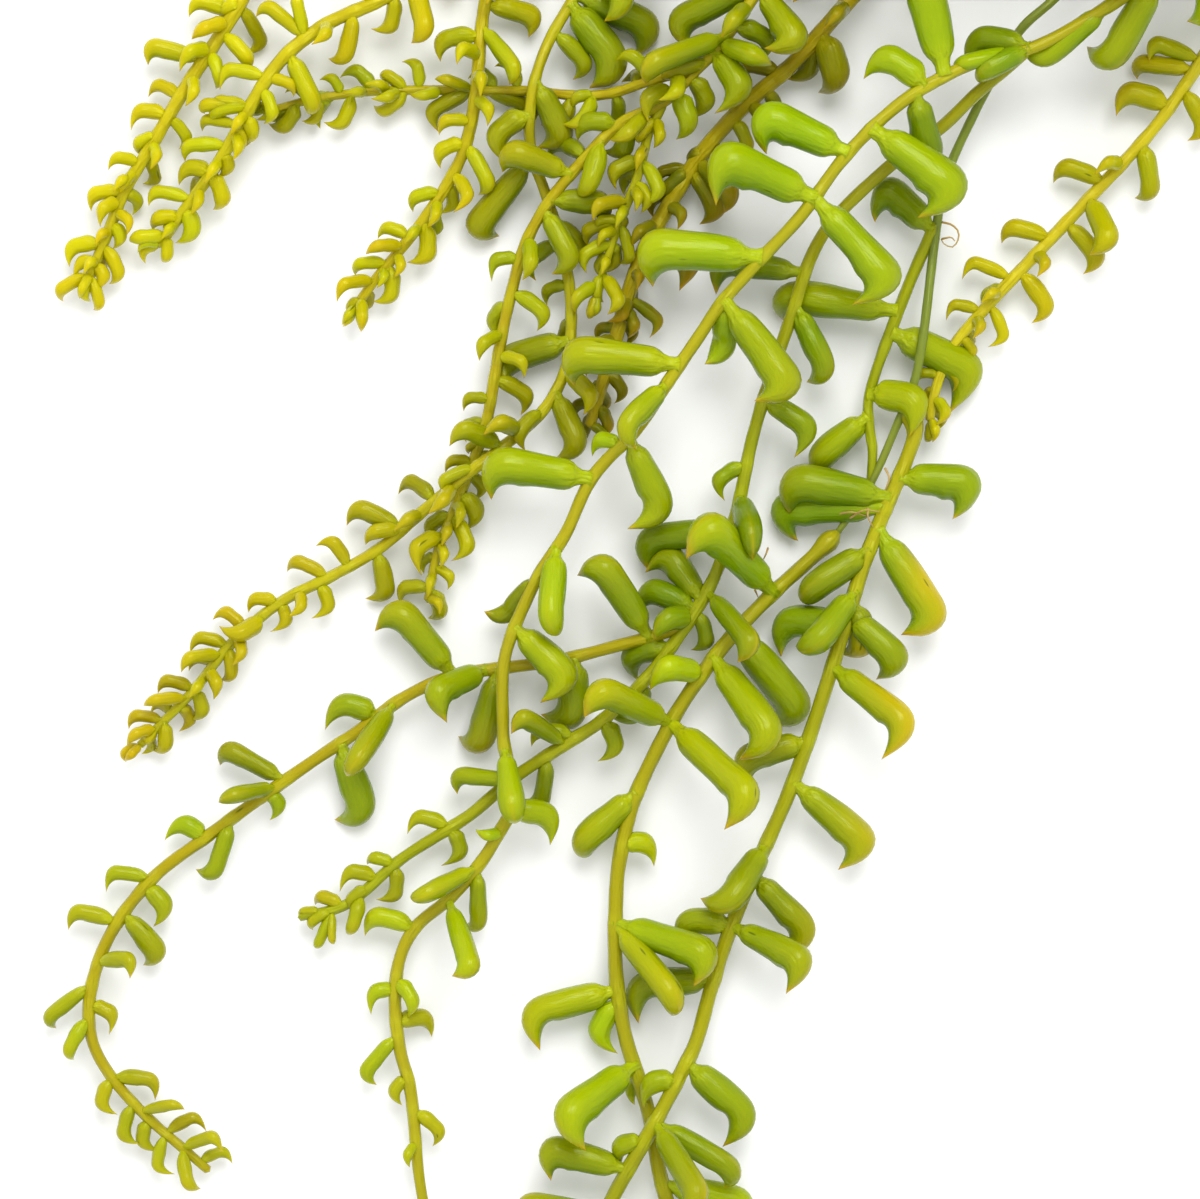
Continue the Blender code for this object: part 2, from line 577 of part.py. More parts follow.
class Room:
    """The spheres of everything placed so far, by which a new leaf finds its place."""

    def __init__(self, shoots):
        self.centres = np.concatenate([shoot["curve"] for shoot in shoots])
        self.radii = np.concatenate([shoot["radii"] for shoot in shoots]) * LARGE_FACET + HALF_GAP
        self.nodes = np.concatenate([[shoot["node"]] * len(shoot["curve"]) for shoot in shoots])
        self.stems = np.ones(len(self.radii), bool)

    def costs(self, node, root, candidates):
        """For each candidate, how deep it lies in its own plant, or infinity where it hits another."""
        centres, radii = leaf_spheres(root, *candidates)
        floor = (centres[..., 2] - radii + HALF_GAP < SURFACE_GAP).any(axis=1)
        pot = (pot_gap(centres) < radii).any(axis=1)
        near = np.linalg.norm(self.centres - root, axis=1) < NEAR
        others = near & (self.nodes != node)
        blocked = floor | pot
        if others.any():
            gaps = self.gaps(centres, radii, others)
            blocked |= (gaps < 0).any(axis=(1, 2))
        length = candidates[2].max()
        own = near & (self.nodes == node)
        own &= ~(self.stems & (np.linalg.norm(self.centres - root, axis=1) < 0.45 * length + 0.0015))
        depth = np.zeros(len(radii))
        if own.any():
            depth = np.maximum(-self.gaps(centres[:, 1:], radii[:, 1:], own), 0).max(axis=2).sum(axis=1)
        return np.where(blocked, np.inf, depth / MM)

    def gaps(self, centres, radii, chosen):
        """Gaps between the candidates' spheres and the chosen ones."""
        apart = np.linalg.norm(centres[:, :, None, :] - self.centres[chosen], axis=3)
        return apart - radii[:, :, None] - self.radii[chosen]

    def add(self, node, leaf):
        centres, radii = leaf_spheres(
            leaf["root"], leaf["along"][None], leaf["hook"][None],
            np.array([leaf["length"]]), np.array([leaf["girth"]]),
        )
        self.centres = np.concatenate([self.centres, centres[0]])
        self.radii = np.concatenate([self.radii, radii[0]])
        self.nodes = np.concatenate([self.nodes, [node] * len(radii[0])])
        self.stems = np.concatenate([self.stems, np.zeros(len(radii[0]), bool)])


def hooks_for(along, tangent, rolls):
    """Which way each candidate's beak points: towards the growing tip and a little down, then rolled."""
    lean = tangent - along * (along @ tangent)[:, None]
    down = np.array([0.0, 0.0, -1.0]) + along * along[:, 2:3]
    hook = unit(lean + 0.25 * down)
    side = np.cross(along, hook)
    return hook * np.cos(rolls)[:, None] + side * np.sin(rolls)[:, None]


def best_leaf(room, shoot, at, along, lengths, rolls, strain):
    """The candidate with the lowest cost, or None. The strain is each candidate's own cost."""
    root = shoot["curve"][at]
    hook = hooks_for(along, shoot["tangents"][at], rolls)
    for size in SHRINK:
        girths = LEAF_GIRTH + LEAF_GIRTH_PER_LENGTH * lengths * size
        cost = room.costs(shoot["node"], root, (along, hook, lengths * size, girths)) + strain
        best = int(np.argmin(cost))
        if np.isfinite(cost[best]):
            return {
                "root": root, "along": along[best], "hook": hook[best], "length": lengths[best] * size,
                "girth": girths[best], "shoot": shoot, "at": at,
            }
    return None


def noted_leaf(room, shoot, noted):
    """A leaf whose root and heel are read from the photo; its heel may rise or sink."""
    pixels = pixels_of(shoot["curve"])
    at = int(np.argmin(np.hypot(pixels[:, 0] - noted[0], pixels[:, 1] - noted[1])))
    root = shoot["curve"][at]
    wanted = noted[4] if len(noted) == 5 else 0.0
    lifts, rolls = np.meshgrid(np.arange(-40.0, 45.0, 5.0), [0.0, -25.0, 25.0, -50.0, 50.0])
    lifts, rolls = lifts.ravel(), rolls.ravel()
    level = place(noted[2], noted[3], root[2])
    heights = root[2] + math.dist(level[:2], root[:2]) * np.tan(np.radians(lifts))
    heels = np.array([place(noted[2], noted[3], height) for height in heights])
    lengths = np.linalg.norm(heels - root, axis=1)
    strain = np.abs(lifts - wanted) * 0.04 + np.abs(rolls) * 0.015
    return best_leaf(room, shoot, at, unit(heels - root), lengths, np.radians(rolls), strain)


def ruled_leaf(room, shoot, at, index, lean=None):
    """A leaf placed by the plant's rule of growth, on alternate sides of the stem."""
    chance = random.Random(f"{shoot['name']} {index}")
    wanted = 20.0 if index % 3 == 2 else 75.0
    wanted = (wanted + chance.uniform(-18.0, 18.0)) * (1 if index % 2 else -1)
    lean = lean or LEAN + chance.uniform(-LEAN_SPREAD, LEAN_SPREAD)
    size = chance.uniform(0.85, 1.1)
    start, per_length, longest = LEAF_LENGTH
    length = min((start + per_length * shoot["to_tip"][at]) * shoot["vigour"], longest) * size
    offsets, leans = np.meshgrid(np.arange(-80.0, 90.0, 20.0), [lean, lean - 22.0, lean + 18.0])
    offsets, leans = offsets.ravel(), leans.ravel()
    sides, tilts = np.radians(wanted + offsets), np.radians(leans)[:, None]
    tangent, up = shoot["tangents"][at], shoot["up"][at]
    across = np.cross(up, tangent)
    away = np.cos(sides)[:, None] * up + np.sin(sides)[:, None] * across
    along = unit(np.cos(tilts) * tangent + np.sin(tilts) * away)
    strain = np.abs(offsets) * 0.012 + np.abs(leans - lean) * 0.01
    return best_leaf(room, shoot, at, along, np.full(len(along), length), np.zeros(len(along)), strain)


def ruled_places(shoot, widest_gap):
    """Places along a shoot, from its tip back, that are far enough from the leaves it has."""
    pixels = pixels_of(shoot["curve"])
    seen = ((pixels > -FRAME_MARGIN) & (pixels < PHOTO_SIZE + FRAME_MARGIN)).all(axis=1)
    start, per_length, widest = LEAF_GAP
    places = []
    due = 0.0015
    for at in range(len(shoot["curve"]) - 1, 0, -1):
        to_tip = shoot["to_tip"][at]
        if shoot["curve"][at][2] < SOIL_MIDDLE * MM and np.hypot(*shoot["curve"][at][:2]) < 0.045:
            break
        gap = min(start + per_length * to_tip, widest)
        if not seen[at]:
            gap = max(gap, widest_gap)
        if to_tip < due:
            continue
        if all(abs(to_tip - taken) > gap * 1.2 for taken in shoot["taken"]):
            places.append(at)
            shoot["taken"].append(to_tip)
            due = to_tip + gap
    return places


def grow_leaves(shoots):
    """All leaves: those read from the photo first, then the ruled ones."""
    room = Room(shoots)
    order = ["strand_8_0", "strand_7_3", "strand_7_1", "strand_8_1", "strand_8_2", "strand_7_2", "strand_5_0"]
    order += ["strand_4_0", "strand_3_0", "strand_2_0", "strand_1_0", "strand_5_1", "strand_6_0", "strand_5_2"]
    order += ["strand_9_0", "strand_7_0"] + [f"sprig_{index + 1}" for index in range(len(SPRIGS))]
    named = {shoot["name"]: shoot for shoot in shoots}
    leaves = []
    missing = 0
    for name in order:
        for noted in named[name]["noted"]:
            leaf = noted_leaf(room, named[name], noted)
            missing += leaf is None
            if leaf:
                room.add(named[name]["node"], leaf)
                named[name]["taken"].append(named[name]["to_tip"][leaf["at"]])
                leaves.append(leaf)
    print(f"{len(leaves)} leaves as in the photo, {missing} without room")
    for name in order:
        shoot = named[name]
        if name == "strand_7_0":
            continue
        widest_gap = GAP_ON_SPRIG if name.startswith("sprig") else GAP_OUT_OF_SIGHT
        tip = ruled_leaf(room, shoot, len(shoot["curve"]) - 1, 0, lean=18.0)
        found = [tip] if tip else []
        for index, at in enumerate(ruled_places(shoot, widest_gap)):
            leaf = ruled_leaf(room, shoot, at, index + 1)
            if leaf:
                found.append(leaf)
                room.add(shoot["node"], leaf)
        leaves += found
    print(f"{len(leaves)} leaves in all")
    return leaves


def mesh_object(name, points, faces, collection):
    """A new object from points and faces."""
    mesh = bpy.data.meshes.new(name)
    mesh.from_pydata([tuple(point) for point in points], [], faces)
    obj = bpy.data.objects.new(name, mesh)
    collection.objects.link(obj)
    return obj


def ringed(name, rings, start, end, collection):
    """A closed body through rings of the same number of points, closed by a point at each end."""
    sides = len(rings[0])
    points = [start] + [point for ring in rings for point in ring] + [end]
    faces = [(0, 1 + (side + 1) % sides, 1 + side) for side in range(sides)]
    for ring in range(len(rings) - 1):
        low = 1 + ring * sides
        high = low + sides
        for side in range(sides):
            beside = (side + 1) % sides
            faces.append((low + side, low + beside, high + beside, high + side))
    last = 1 + (len(rings) - 1) * sides
    faces += [(len(points) - 1, last + side, last + (side + 1) % sides) for side in range(sides)]
    return mesh_object(name, points, faces, collection)


def ring(centre, axis_a, axis_b, radius, sides, turn=0.0):
    """Points of a ring round a centre, from axis_a towards axis_b."""
    angles = turn + np.arange(sides) * math.tau / sides
    return [centre + radius * (math.cos(a) * axis_a + math.sin(a) * axis_b) for a in angles]


def leaf_object(name, leaf, collection):
    """A leaf with few sides: four on a large one, three on a small one."""
    along, hook, length, girth = leaf["along"], leaf["hook"], leaf["length"], leaf["girth"]
    side = np.cross(along, hook)
    large = length >= LARGE_LEAF
    sides, facet = (4, LARGE_FACET) if large else (3, SMALL_FACET)
    turn = 0.0 if large else math.pi
    shares, turns = ((0.36,), (12.0, 75.0)) if large else ((0.5,), (50.0,))
    rings = []
    for share in shares:
        radius = girth * facet * np.interp(share, CLUB_SHARES, CLUB_GIRTHS)
        rings.append(ring(leaf["root"] + along * length * share, hook, side, radius, sides, turn))
    pivot = leaf["root"] + along * length + hook * girth * (1 + CREASE)
    for degrees in turns:
        share = np.interp(degrees, BEAK_TURNS, BEAK_GIRTHS)
        bend = math.radians(degrees)
        outward = along * math.sin(bend) - hook * math.cos(bend)
        centre = pivot + outward * girth * (share + CREASE)
        rings.append(ring(centre, -outward, side, girth * facet * share, sides, turn))
    tip = leaf["root"] + along * (length + girth * TIP_ALONG) + hook * girth * TIP_ACROSS
    return ringed(name, rings, leaf["root"], tip, collection)


def ring_places(curve):
    """Where a tube needs rings, so that it strays little from its curve."""
    places = [0]
    end = 2
    while end < len(curve):
        start = places[-1]
        chord = curve[end] - curve[start]
        length = np.linalg.norm(chord)
        stray = np.linalg.norm(np.cross(curve[start + 1:end] - curve[start], chord / length), axis=1)
        if stray.max() > STEM_STRAY or length > STEM_LONGEST:
            places.append(end - 1)
        end += 1
    return places + [len(curve) - 1]


def stem_object(shoot, collection):
    """A shoot's stem as a tube with few sides."""
    curve, radii = shoot["curve"], shoot["radii"]
    rings = []
    for index in ring_places(curve):
        across = np.cross(shoot["up"][index], shoot["tangents"][index])
        radius = radii[index] * LARGE_FACET
        rings.append(ring(curve[index], shoot["up"][index], -across, radius, STEM_SIDES))
    start = curve[0] - shoot["tangents"][0] * radii[0] * 0.3
    end = curve[-1] + shoot["tangents"][-1] * radii[-1]
    return ringed(shoot["name"], rings, start, end, collection)


def clay_or_plant(name, colour, roughness):
    """A material with a plain colour."""
    material = bpy.data.materials.new(name)
    material.use_nodes = True
    shader = material.node_tree.nodes["Principled BSDF"]
    shader.inputs["Base Color"].default_value = (*colour, 1.0)
    shader.inputs["Roughness"].default_value = roughness
    shader.inputs["Metallic"].default_value = 0.0
    return material


def keep_largest_body(mesh):
    """Fills hollows that the union sealed and drops scraps, by keeping the largest closed surface."""
    work = bmesh.new()
    work.from_mesh(mesh)
    left = set(work.faces)
    bodies = []
    while left:
        stack = [left.pop()]
        body = list(stack)
        while stack:
            for edge in stack.pop().edges:
                beside = [face for face in edge.link_faces if face in left]
                left.difference_update(beside)
                stack += beside
                body += beside
        bodies.append(body)
    bodies.sort(key=len)
    for body in bodies[:-1]:
        bmesh.ops.delete(work, geom=body, context="FACES")
    work.to_mesh(mesh)
    work.free()
    return len(bodies) - 1


def united(base, collection):
    """The base object joined with all of the collection's by one Boolean union, applied."""
    union = base.modifiers.new("union", "BOOLEAN")
    union.operation = "UNION"
    union.solver = "MANIFOLD"
    union.operand_type = "COLLECTION"
    union.collection = collection
    graph = bpy.context.evaluated_depsgraph_get()
    mesh = bpy.data.meshes.new_from_object(base.evaluated_get(graph))
    base.modifiers.clear()
    base.data = mesh
    dropped = keep_largest_body(mesh)
    for obj in list(collection.objects):
        bpy.data.objects.remove(obj, do_unlink=True)
    bpy.data.collections.remove(collection)
    return dropped


def plant_node(node, shoots, leaves, material):
    """One leafy stem with its side shoots, as one body."""
    scene_objects = bpy.context.scene.collection
    parts = bpy.data.collections.new(f"{node} parts")
    scene_objects.children.link(parts)
    own = [shoot for shoot in shoots if shoot["node"] == node]
    base = stem_object(own[0], scene_objects)
    for shoot in own[1:]:
        stem_object(shoot, parts)
    for index, leaf in enumerate(leaf for leaf in leaves if leaf["shoot"]["node"] == node):
        leaf_object(f"{node} leaf {index}", leaf, parts)
    dropped = united(base, parts)
    base.name = node
    base.data.name = node
    base.data.materials.clear()
    base.data.materials.append(material)
    base.data.polygons.foreach_set("material_index", np.zeros(len(base.data.polygons), np.int32))
    print(f"{node}: {len(base.data.polygons)} faces, {dropped} scraps dropped")
    return base


def turned(name, profile, sides, material):
    """A turned body: the profile runs from the axis round the section and back to the axis."""
    work = bmesh.new()
    rings = []
    for radius, height in profile:
        if radius == 0.0:
            rings.append([work.verts.new((0.0, 0.0, height * MM))])
            continue
        angles = [math.tau * side / sides for side in range(sides)]
        spots = [(radius * MM * math.cos(a), radius * MM * math.sin(a), height * MM) for a in angles]
        rings.append([work.verts.new(spot) for spot in spots])
    for low, high in zip(rings, rings[1:]):
        for side in range(sides):
            beside = (side + 1) % sides
            corners = [low[side % len(low)], low[beside % len(low)]]
            corners += [high[beside % len(high)], high[side % len(high)]]
            work.faces.new(list(dict.fromkeys(corners)))
    bmesh.ops.recalc_face_normals(work, faces=work.faces)
    mesh = bpy.data.meshes.new(name)
    work.to_mesh(mesh)
    work.free()
    mesh.shade_smooth()
    mesh.set_sharp_from_angle(angle=math.radians(35.0))
    obj = bpy.data.objects.new(name, mesh)
    bpy.context.scene.collection.objects.link(obj)
    mesh.materials.append(material)
    return obj


def cut_holes(obj, spots, radius, sides, low, high):
    """Cuts plain upright holes from the object."""
    cutter = bmesh.new()
    for x, y in spots:
        made = bmesh.ops.create_cone(
            cutter, cap_ends=True, segments=sides, radius1=radius, radius2=radius, depth=high - low
        )
        bmesh.ops.translate(cutter, verts=made["verts"], vec=(x, y, (low + high) / 2))
    mesh = bpy.data.meshes.new(f"{obj.name} holes")
    cutter.to_mesh(mesh)
    cutter.free()
    tool = bpy.data.objects.new(mesh.name, mesh)
    bpy.context.scene.collection.objects.link(tool)
    tool.hide_render = True
    tool.display_type = "WIRE"
    cut = obj.modifiers.new("holes", "BOOLEAN")
    cut.operation = "DIFFERENCE"
    cut.object = tool


def make_pot():
    """The clay pot with its rim band and drain holes."""
    clay = clay_or_plant("terracotta", (0.55, 0.235, 0.125), 0.85)
    profile = ((0.0, 0.0),) + POT_OUTSIDE + POT_LIP + POT_INSIDE + ((0.0, POT_INSIDE[-1][1]),)
    pot = turned("pot", profile, POT_SIDES, clay)
    turns = [math.tau * (hole + 0.5) / DRAIN_HOLES for hole in range(DRAIN_HOLES)]
    spots = [(DRAIN_CIRCLE * math.cos(turn), DRAIN_CIRCLE * math.sin(turn)) for turn in turns]
    cut_holes(pot, spots, DRAIN_RADIUS, 12, -0.002, POT_FLOOR + 0.002)
    return pot


def make_soil(shoots):
    """The soil, with a plain hole for each stem that comes from it."""
    earth = clay_or_plant("potting soil", (0.045, 0.028, 0.018), 0.95)
    top, foot = POT_INSIDE
    edge = top[0] - SOIL_GAP
    profile = (
        (0.0, SOIL_BOTTOM), (foot[0] - SOIL_GAP, SOIL_BOTTOM), (edge, top[1]), (edge, SOIL_EDGE - 1.0),
        (edge - 1.2, SOIL_EDGE), (edge * 0.5, SOIL_MIDDLE - 0.4), (0.0, SOIL_MIDDLE),
    )
    soil = turned("soil", profile, POT_SIDES, earth)
    starts = [shoot["curve"][0] for shoot in shoots if shoot["name"].startswith("sprig")]
    starts += [shoot["curve"][0] for shoot in shoots if shoot["name"].endswith("_0")]
    cut_holes(soil, [start[:2] for start in starts], HOLE_RADIUS, HOLE_SIDES, HOLE_BOTTOM, 0.08)
    return soil


def main():
    shoots = all_shoots()
    make_pot()
    make_soil(shoots)
    leaves = grow_leaves(shoots)
    for node, strand in STRANDS.items():
        plant_node(node, shoots, leaves, clay_or_plant(f"{node} leaf", strand["colour"], 0.35))
    for index in range(len(SPRIGS)):
        node = f"sprig_{index + 1}"
        plant_node(node, shoots, leaves, clay_or_plant(f"{node} leaf", SPRIG_COLOUR, 0.35))


main()
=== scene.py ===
# Potted trailing succulent with hooked leaves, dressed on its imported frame.
import math
import random

import bmesh
import bpy
import numpy as np
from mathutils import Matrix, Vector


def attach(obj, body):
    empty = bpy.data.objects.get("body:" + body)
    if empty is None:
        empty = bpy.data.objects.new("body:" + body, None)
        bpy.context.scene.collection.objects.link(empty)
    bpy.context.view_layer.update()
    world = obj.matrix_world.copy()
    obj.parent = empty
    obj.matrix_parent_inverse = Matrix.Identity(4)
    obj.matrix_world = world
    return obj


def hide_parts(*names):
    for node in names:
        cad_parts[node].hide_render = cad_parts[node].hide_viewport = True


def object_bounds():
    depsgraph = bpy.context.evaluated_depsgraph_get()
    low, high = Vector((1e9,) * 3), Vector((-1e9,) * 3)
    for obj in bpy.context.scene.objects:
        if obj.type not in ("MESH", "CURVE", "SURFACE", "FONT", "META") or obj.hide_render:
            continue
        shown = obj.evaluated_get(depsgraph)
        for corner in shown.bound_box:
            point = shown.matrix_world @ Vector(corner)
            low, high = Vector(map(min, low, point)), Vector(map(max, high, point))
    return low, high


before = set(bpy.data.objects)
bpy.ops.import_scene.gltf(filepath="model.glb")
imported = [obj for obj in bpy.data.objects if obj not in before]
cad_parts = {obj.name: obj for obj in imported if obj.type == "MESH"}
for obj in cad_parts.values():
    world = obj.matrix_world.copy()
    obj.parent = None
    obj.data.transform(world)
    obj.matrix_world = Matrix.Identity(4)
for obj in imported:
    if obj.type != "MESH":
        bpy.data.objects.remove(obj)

mm = 0.001
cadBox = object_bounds()
print("frame loaded:", len(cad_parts), "nodes")


# Materials

def hexColour(text):
    # sRGB hex to the linear colour that the shader takes
    parts = [int(text[i:i + 2], 16) / 255 for i in (1, 3, 5)]
    return tuple(p / 12.92 if p <= 0.04045 else ((p + 0.055) / 1.055) ** 2.4 for p in parts) + (1.0,)


def feed(tree, node, inputs):
    # an input takes a plain value, or the socket that feeds it
    for name, given in inputs.items():
        if isinstance(given, bpy.types.NodeSocket):
            tree.links.new(given, node.inputs[name])
        else:
            node.inputs[name].default_value = given


def addNode(tree, kind, inputs, output=0, **settings):
    # one node with its settings and inputs; the output that is used next comes back
    node = tree.nodes.new(kind)
    for name, value in settings.items():
        setattr(node, name, value)
    feed(tree, node, inputs)
    return node.outputs[output]


def startMaterial(name):
    material = bpy.data.materials.new(name)
    material.use_nodes = True
    tree = material.node_tree
    return material, tree, tree.nodes["Principled BSDF"]


def addObject(name, data, node=None):
    # an object in the scene; a piece of the part rides on the root body, and the frame's node that it stands
    # for is hidden
    made = bpy.data.objects.new(name, data)
    bpy.context.scene.collection.objects.link(made)
    if node:
        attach(made, "root")
        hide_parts(node)
    return made


# Succulent skin: a waxy cuticle over watery flesh, grown, so light passes a little way in, the gloss is
# satin and the colour runs in soft patches with fine lines along the leaf. A range gives the values of its
# noise between which a pattern sets in
skin = {
    "patchMm": 3.2, "patchRange": (0.35, 0.65), "patchShare": 0.22, "darkPatchAndPaintedShade": (0.62, 0.70, 0.55, 1.0),
    "streakMm": 0.55, "streakRange": (0.52, 0.75), "streakShare": 0.26, "fresh": (1.22, 1.12, 1.1, 1.0),
    "poreMm": 2.6, "poreEdge": (0.05, 0.09), "poreChoice": (0.8, 0.82), "poreShare": 0.7, "pore": "#3f4a0c",
    "softRange": (0.3, 0.7), "leastFlush": 0.55, "roughness": (0.15, 0.26),
    "neckShare": 0.45, "tipShare": 0.8, "tip": "#b8861a",
    "wrinkleMm": 0.9, "wrinkleRange": (0.0, 0.6), "wrinkles": (0.5, 2.2), "streakRelief": 0.35,
    "bumpMm": 0.5, "bump": 0.85,
    "shader": {
        "IOR": 1.33, "Specular IOR Level": 0.4, "Specular Tint": (0.9, 1.0, 0.25, 1.0),
        "Coat Roughness": 0.1, "Coat Tint": (0.92, 1.0, 0.4, 1.0),
        "Subsurface Weight": 0.4, "Subsurface Scale": 0.0022, "Subsurface Radius": (1.0, 0.85, 0.2),
    },
}
# a skin's neck colour is painted on the neck: its own paler yellow together with a painted highlight
skins = {
    "young_leaf": {"flush": "#c8a40e", "neck": "#d8d214", "shine": 0.07},
    "green_leaf": {"flush": "#b8a010", "neck": "#bcc41a", "shine": 0.13},
    "flushed_leaf": {"flush": "#b48a10", "neck": "#ccbe18", "shine": 0.08},
    "bright_leaf": {"flush": "#b8a212", "neck": "#c0c61c", "shine": 0.16},
}


def makeSkin(slotName, look):
    # each point carries its tone, its place in the grain and its marks: flush, tip and neck
    material, tree, shader = startMaterial(f"succulent skin, grown, {slotName}")
    tone = addNode(tree, "ShaderNodeAttribute", {}, "Color", attribute_name="tone")
    grain = addNode(tree, "ShaderNodeAttribute", {}, "Vector", attribute_name="grain")
    marks = addNode(tree, "ShaderNodeAttribute", {}, "Vector", attribute_name="marks")
    flush, tip, neck = addNode(tree, "ShaderNodeSeparateXYZ", {0: marks}).node.outputs
    patches, streaks, wrinkles = (
        addNode(tree, "ShaderNodeTexNoise", {"Vector": grain, "Scale": 1000 / skin[size], "Detail": detail})
        for size, detail in (("patchMm", 3.0), ("streakMm", 2.0), ("wrinkleMm", 1.0))
    )
    pores = {"Vector": grain, "Scale": 1000 / skin["poreMm"]}
    distance = addNode(tree, "ShaderNodeTexVoronoi", pores, "Distance")
    cell = addNode(tree, "ShaderNodeSeparateXYZ", {0: distance.node.outputs["Color"]})
    ranges = (
        (patches, *skin["patchRange"], 0.0, skin["patchShare"]),
        (streaks, *skin["streakRange"], 0.0, skin["streakShare"]),
        (neck, 0.0, 1.0, 0.0, skin["neckShare"]), (tip, 0.0, 1.0, 0.0, skin["tipShare"]),
        (patches, *skin["softRange"], skin["leastFlush"], 1.0), (distance, *skin["poreEdge"], 1.0, 0.0),
        (cell, *skin["poreChoice"], 0.0, skin["poreShare"]),
        (patches, *skin["softRange"], *skin["roughness"]), (neck, *skin["wrinkleRange"], *skin["wrinkles"]),
    )
    patched, streaked, atNeck, atTip, uneven, inPore, chosen, roughness, wrinkled = (
        addNode(tree, "ShaderNodeMapRange", dict(enumerate(row))) for row in ranges
    )
    flushed, pore, folds = (
        addNode(tree, "ShaderNodeMath", {0: first, 1: second}, operation="MULTIPLY")
        for first, second in ((flush, uneven), (inPore, chosen), (wrinkles, wrinkled))
    )
    tint = {"data_type": "RGBA", "blend_type": "MULTIPLY"}
    darkPatchAndPaintedShade, fresh = (
        addNode(tree, "ShaderNodeMix", {0: 1.0, 6: tone, 7: skin[name]}, 2, **tint)
        for name in ("darkPatchAndPaintedShade", "fresh")
    )
    colour = tone
    # the neck is painted paler: its own yellower colour together with a painted highlight
    for share, over in (
        (patched, darkPatchAndPaintedShade), (streaked, fresh), (atNeck, hexColour(look["neck"])),
        (flushed, hexColour(look["flush"])), (atTip, hexColour(skin["tip"])), (pore, hexColour(skin["pore"])),
    ):
        colour = addNode(tree, "ShaderNodeMix", {0: share, 6: colour, 7: over}, 2, data_type="RGBA")
    relief = {0: streaks, 1: skin["streakRelief"], 2: folds}
    relief = addNode(tree, "ShaderNodeMath", relief, operation="MULTIPLY_ADD")
    relief = addNode(tree, "ShaderNodeMath", {0: relief, 1: patches}, operation="ADD")
    bump = {"Height": relief, "Strength": skin["bump"], "Distance": skin["bumpMm"] * mm}
    feed(tree, shader, skin["shader"] | {
        "Base Color": colour, "Roughness": roughness, "Coat Weight": look["shine"],
        "Normal": addNode(tree, "ShaderNodeBump", bump),
    })
    return material


leafSkins = {name: makeSkin(name, look) for name, look in skins.items()}
print("skins mixed")


# The strands, left to right at the photo's top edge. A route is (pixel, pixel, height in mm); a leaf is
# (root pixel, pixel, heel pixel, pixel, lift in degrees); its shape, under its number, is (half width, beak
# pixel, pixel, heel pixel, pixel); a finer leaf is (root, heel, half width, beak, lift)
strands = {}
strands["strand_1"] = {"overRim": 205, "hole": 24, "shoots": [{
    "leaf": "#cfc80a", "stem": "#d2c01a", "stemMm": 1.22, "sickle": 0.8, "blush": 0.3,
    "route": [
        (620, -360, 6.5), (480, -270), (360, -170), (290, -85), (245, -5, 6.5), (217, 40), (184, 90),
        (153, 143), (125, 190), (107, 235), (90, 275, 5),
    ], "leaves": [
        (222, 5, 200, 2), (235, 30, 205, 30), (187, 50, 155, 48), (205, 50, 187, 55), (240, 10, 260, 40),
        (166, 110, 140, 108), (157, 140, 137, 138), (150, 160, 155, 178), (118, 193, 97, 190),
        (115, 205, 102, 210), (122, 190, 137, 200), (100, 240, 72, 245), (110, 225, 120, 235),
        (103, 250, 122, 270), (80, 283, 60, 287), (92, 285, 100, 300),
    ], "shapes": {
        0: (9, 196, 20), 1: (9, 198, 43, 205, 28), 2: (9.5, 150, 66, 154, 47), 3: (9, 175, 72, 190, 52),
        4: (8, 243, 56), 5: (8.5, 134, 131, 141, 111), 6: (7.5, 126, 159, 140, 142), 7: (7, 148, 188),
        8: (8.5, 92, 211, 96, 194), 9: (8, 97, 228, 104, 208), 10: (7.5, 126, 212), 11: (9, 72, 267, 74, 247),
        12: (8, 117, 256), 13: (8, 110, 287, 118, 272), 14: (8, 55, 304, 62, 289), 15: (7, 95, 318, 99, 302),
    }, "finer": [
        (100, 262, 84, 262, 8, 75, 281), (95, 262, 103, 275, 8, 97, 295), (90, 280, 84, 292, 7, 80, 301),
        (243, 3, 227, 8, 9, 222, 19), (228, 38, 246, 57, 9, 258, 67), (212, 50, 219, 76, 8, 212, 88),
        (172, 118, 186, 137, 7, 180, 150),
    ],
}]}
